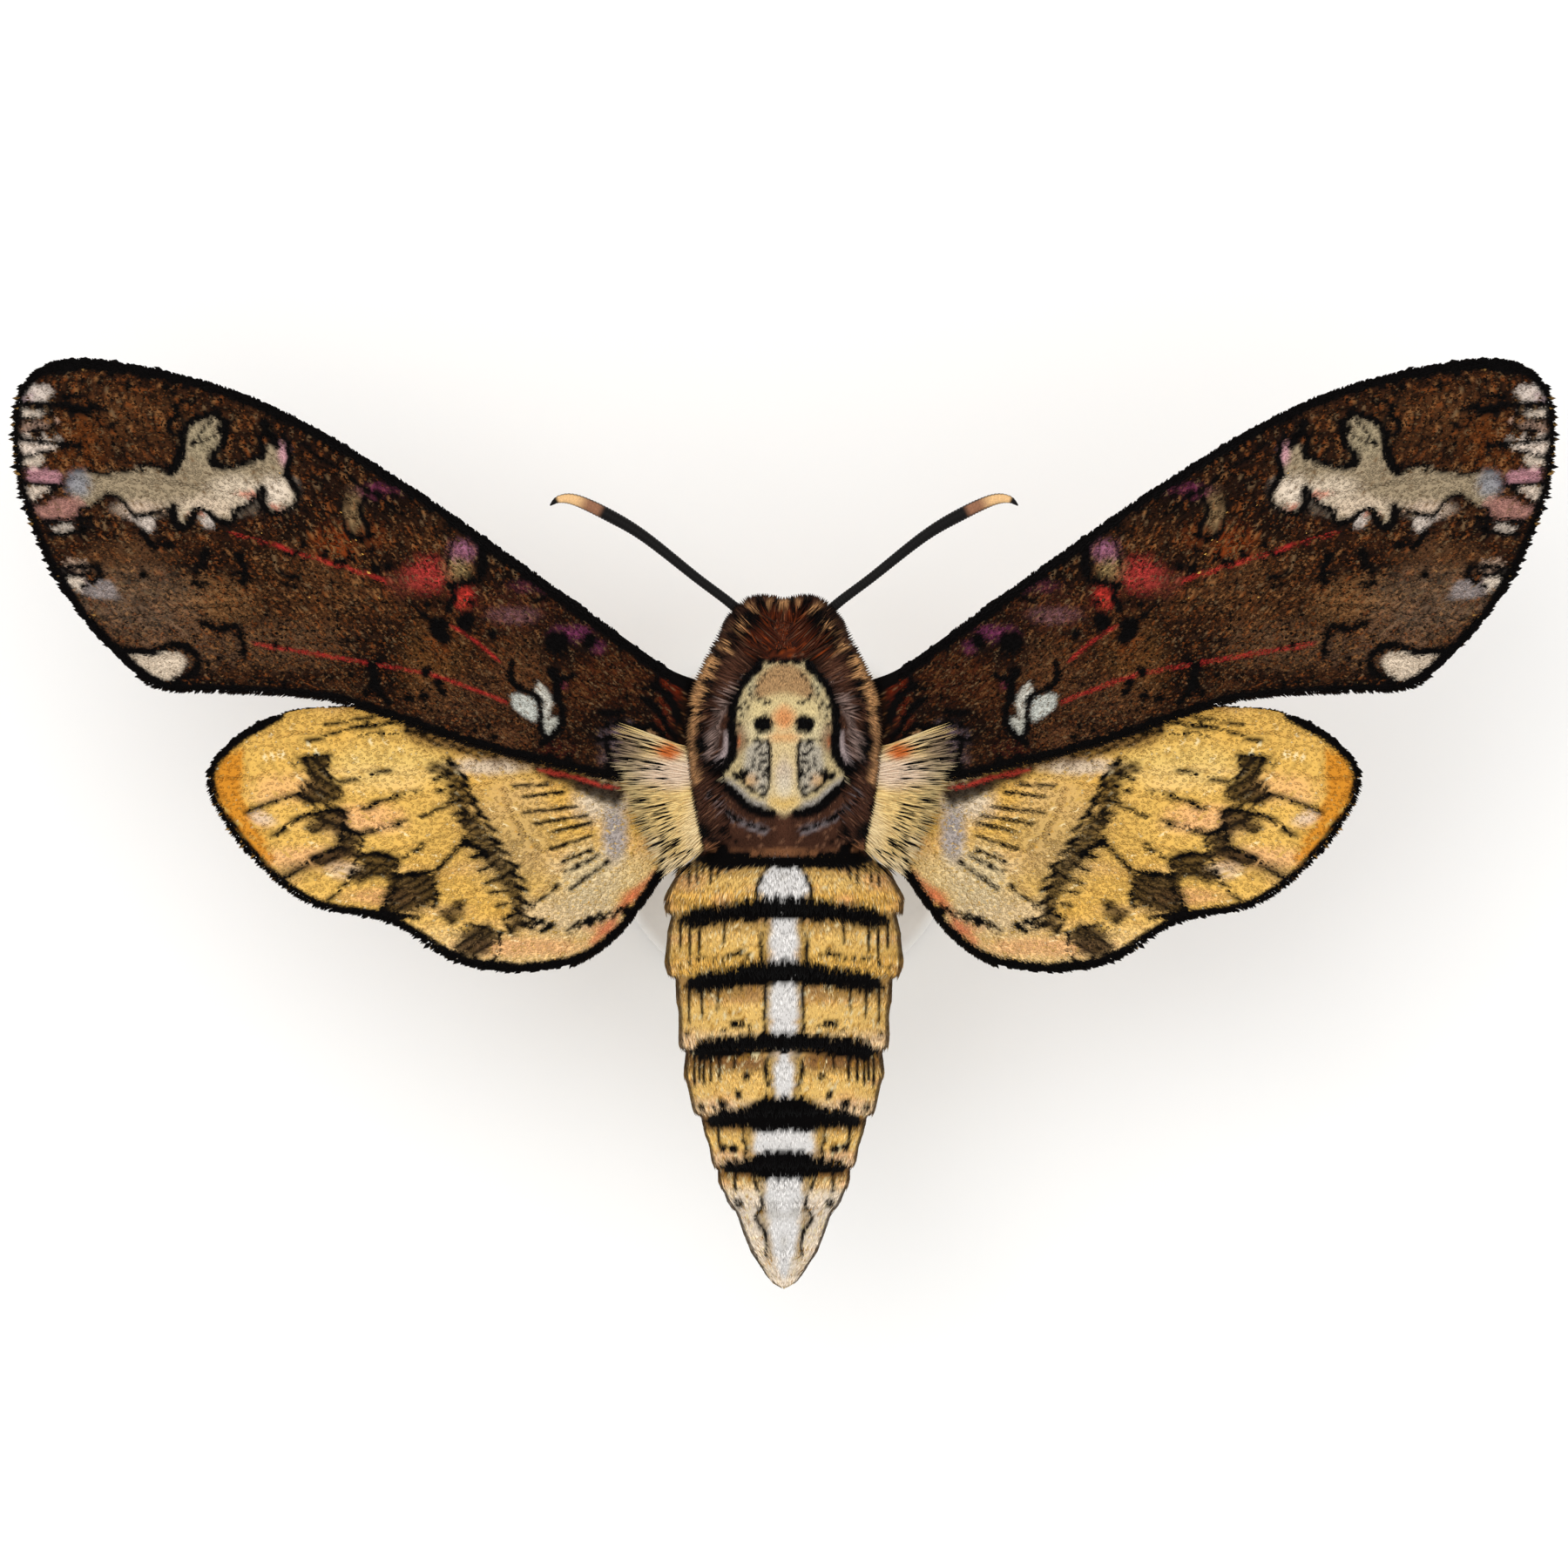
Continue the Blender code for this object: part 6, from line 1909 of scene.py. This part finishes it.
# %% [markdown]
# The stand is what a museum would choose: a turned foot of cast metal in off-white lacquer,
# with felt underneath, and a short steel rod with a small collar. Both are turned shapes, so a
# profile is spun round the axis. Lacquer shows a faint orange peel, and the turned rod shows
# fine rings from the lathe.

# %% Stand
BASE_RADIUS = 13.0
BASE_HEIGHT = 5.0
EDGE_ROUND = 0.8
FELT_HEIGHT = 0.5
ROD_RADIUS = 1.5
ROD_FOOT = 3.2
ROD_CUP = 2.1
ROD_TOP = AXIS - 4.6
SPIN_STEPS = 96
CORNER_POINTS = 7


def rounded_corner(radius, height, size, from_side):
    """Profile points round a quarter turn at an outer top or bottom corner."""
    turns = np.linspace(0.0, math.pi / 2.0, CORNER_POINTS)
    if from_side == "top":
        return [(radius - size + size * math.cos(turn), height - size + size * math.sin(turn))
                for turn in turns]
    return [(radius - size + size * math.sin(turn), height + size - size * math.cos(turn))
            for turn in turns]


def spin_profile(name, profile, finish, slot, *replaced):
    """A closed turned solid from (radius, height) points, from the axis round to the axis."""
    mesh = bpy.data.meshes.new(name)
    mesh.from_pydata([(radius * MM, 0.0, height * MM) for radius, height in profile],
                     [(at, at + 1) for at in range(len(profile) - 1)], [])
    turned = bpy.data.objects.new(name, mesh)
    bpy.context.scene.collection.objects.link(turned)
    edit_all(turned)
    bpy.ops.mesh.spin(steps=SPIN_STEPS, angle=2.0 * math.pi, center=(0, 0, 0), axis=(0, 0, 1))
    bpy.ops.mesh.select_all(action="SELECT")
    bpy.ops.mesh.remove_doubles(threshold=0.001 * MM)
    bpy.ops.mesh.normals_make_consistent(inside=False)
    bpy.ops.object.mode_set(mode="OBJECT")
    bpy.ops.object.shade_smooth_by_angle(angle=math.radians(30.0))
    dress(turned, finish, slot, *replaced)
    report(turned)


def lacquer_finish():
    finish, tree, shader = new_finish("sprayed_off_white_lacquer", Roughness=0.38, Coat_Weight=0.25,
                                      Coat_Roughness=0.12)
    place = {"Vector": (add_node(tree, "TexCoord"), "Object")}
    peel = add_node(tree, "TexNoise", {"Scale": 1.0 / (0.9 * MM), "Detail": 2.0}, place)
    tone = add_node(tree, "ValToRGB", {"stops": ((0.0, "#DEDBD5"), (1.0, "#EDEAE4"))},
                    {"Fac": (peel, "Fac")})
    relief = add_node(tree, "Bump", {"Strength": 0.15, "Distance": 0.02 * MM},
                      {"Height": (peel, "Fac")})
    feed(tree, shader, {"Base Color": (tone, "Color"), "Normal": (relief, "Normal")})
    return finish


def steel_finish():
    finish, tree, shader = new_finish("turned_stainless_steel", Metallic=1.0)
    place = {"Vector": (add_node(tree, "TexCoord"), "Object")}
    squash = add_node(tree, "Mapping", {"Scale": (1.0, 1.0, 60.0)}, place)
    rings = add_node(tree, "TexNoise", {"Scale": 1.0 / (6.0 * MM), "Detail": 3.0},
                     {"Vector": (squash, "Vector")})
    tone = add_node(tree, "ValToRGB", {"stops": ((0.0, "#A9A9AB"), (1.0, "#CFCFD0"))},
                    {"Fac": (rings, "Fac")})
    rough = add_node(tree, "MapRange", {"To Min": 0.22, "To Max": 0.38}, {"Value": (rings, "Fac")})
    feed(tree, shader, {"Base Color": (tone, "Color"), "Roughness": (rough, "Result")})
    return finish


def felt_finish():
    finish, tree, shader = new_finish("pressed_wool_felt", Roughness=0.95, Sheen_Weight=0.3)
    place = {"Vector": (add_node(tree, "TexCoord"), "Object")}
    fibre = add_node(tree, "TexNoise", {"Scale": 1.0 / (0.3 * MM), "Detail": 4.0}, place)
    tone = add_node(tree, "ValToRGB", {"stops": ((0.0, "#B9B5AC"), (1.0, "#D8D5CE"))},
                    {"Fac": (fibre, "Fac")})
    feed(tree, shader, {"Base Color": (tone, "Color")})
    return finish


BASE_PROFILE = [(0.0, FELT_HEIGHT), *rounded_corner(BASE_RADIUS, FELT_HEIGHT, 0.25, "bottom"),
                *rounded_corner(BASE_RADIUS, BASE_HEIGHT, EDGE_ROUND, "top"),
                (ROD_FOOT + 1.9, BASE_HEIGHT), (ROD_FOOT + 1.6, BASE_HEIGHT - 0.25),
                (ROD_FOOT + 0.9, BASE_HEIGHT - 0.25), (ROD_FOOT + 0.6, BASE_HEIGHT), (0.0, BASE_HEIGHT)]
ROD_START = BASE_HEIGHT + 0.02
ROD_PROFILE = [(0.0, ROD_START), (ROD_FOOT - 0.2, ROD_START), (ROD_FOOT, ROD_START + 0.2),
               (ROD_FOOT, ROD_START + 1.1), (ROD_FOOT - 0.35, ROD_START + 1.5),
               (ROD_RADIUS + 0.25, ROD_START + 1.7), (ROD_RADIUS, ROD_START + 2.1),
               (ROD_RADIUS, ROD_TOP - 3.6), (ROD_CUP, ROD_TOP - 2.6), (ROD_CUP, ROD_TOP - 0.2),
               (ROD_CUP - 0.2, ROD_TOP), (0.0, ROD_TOP)]
FELT_PROFILE = [(0.0, 0.0), (BASE_RADIUS - 0.7, 0.0), (BASE_RADIUS - 0.5, 0.2),
                (BASE_RADIUS - 0.5, FELT_HEIGHT - 0.01), (0.0, FELT_HEIGHT - 0.01)]
lacquer, steel, felt = lacquer_finish(), steel_finish(), felt_finish()
spin_profile("stand_base_foot", BASE_PROFILE, lacquer, "stand_lacquer", "stand_base")
spin_profile("stand_base_felt", FELT_PROFILE, felt, "stand_lacquer")
spin_profile("stand_rod_turned", ROD_PROFILE, steel, "stand_steel", "stand_rod")

# %% [markdown]
# Last, the number of triangles in all the coats is printed.

# %% Finish
print("triangles in the coat:", coat_triangles)
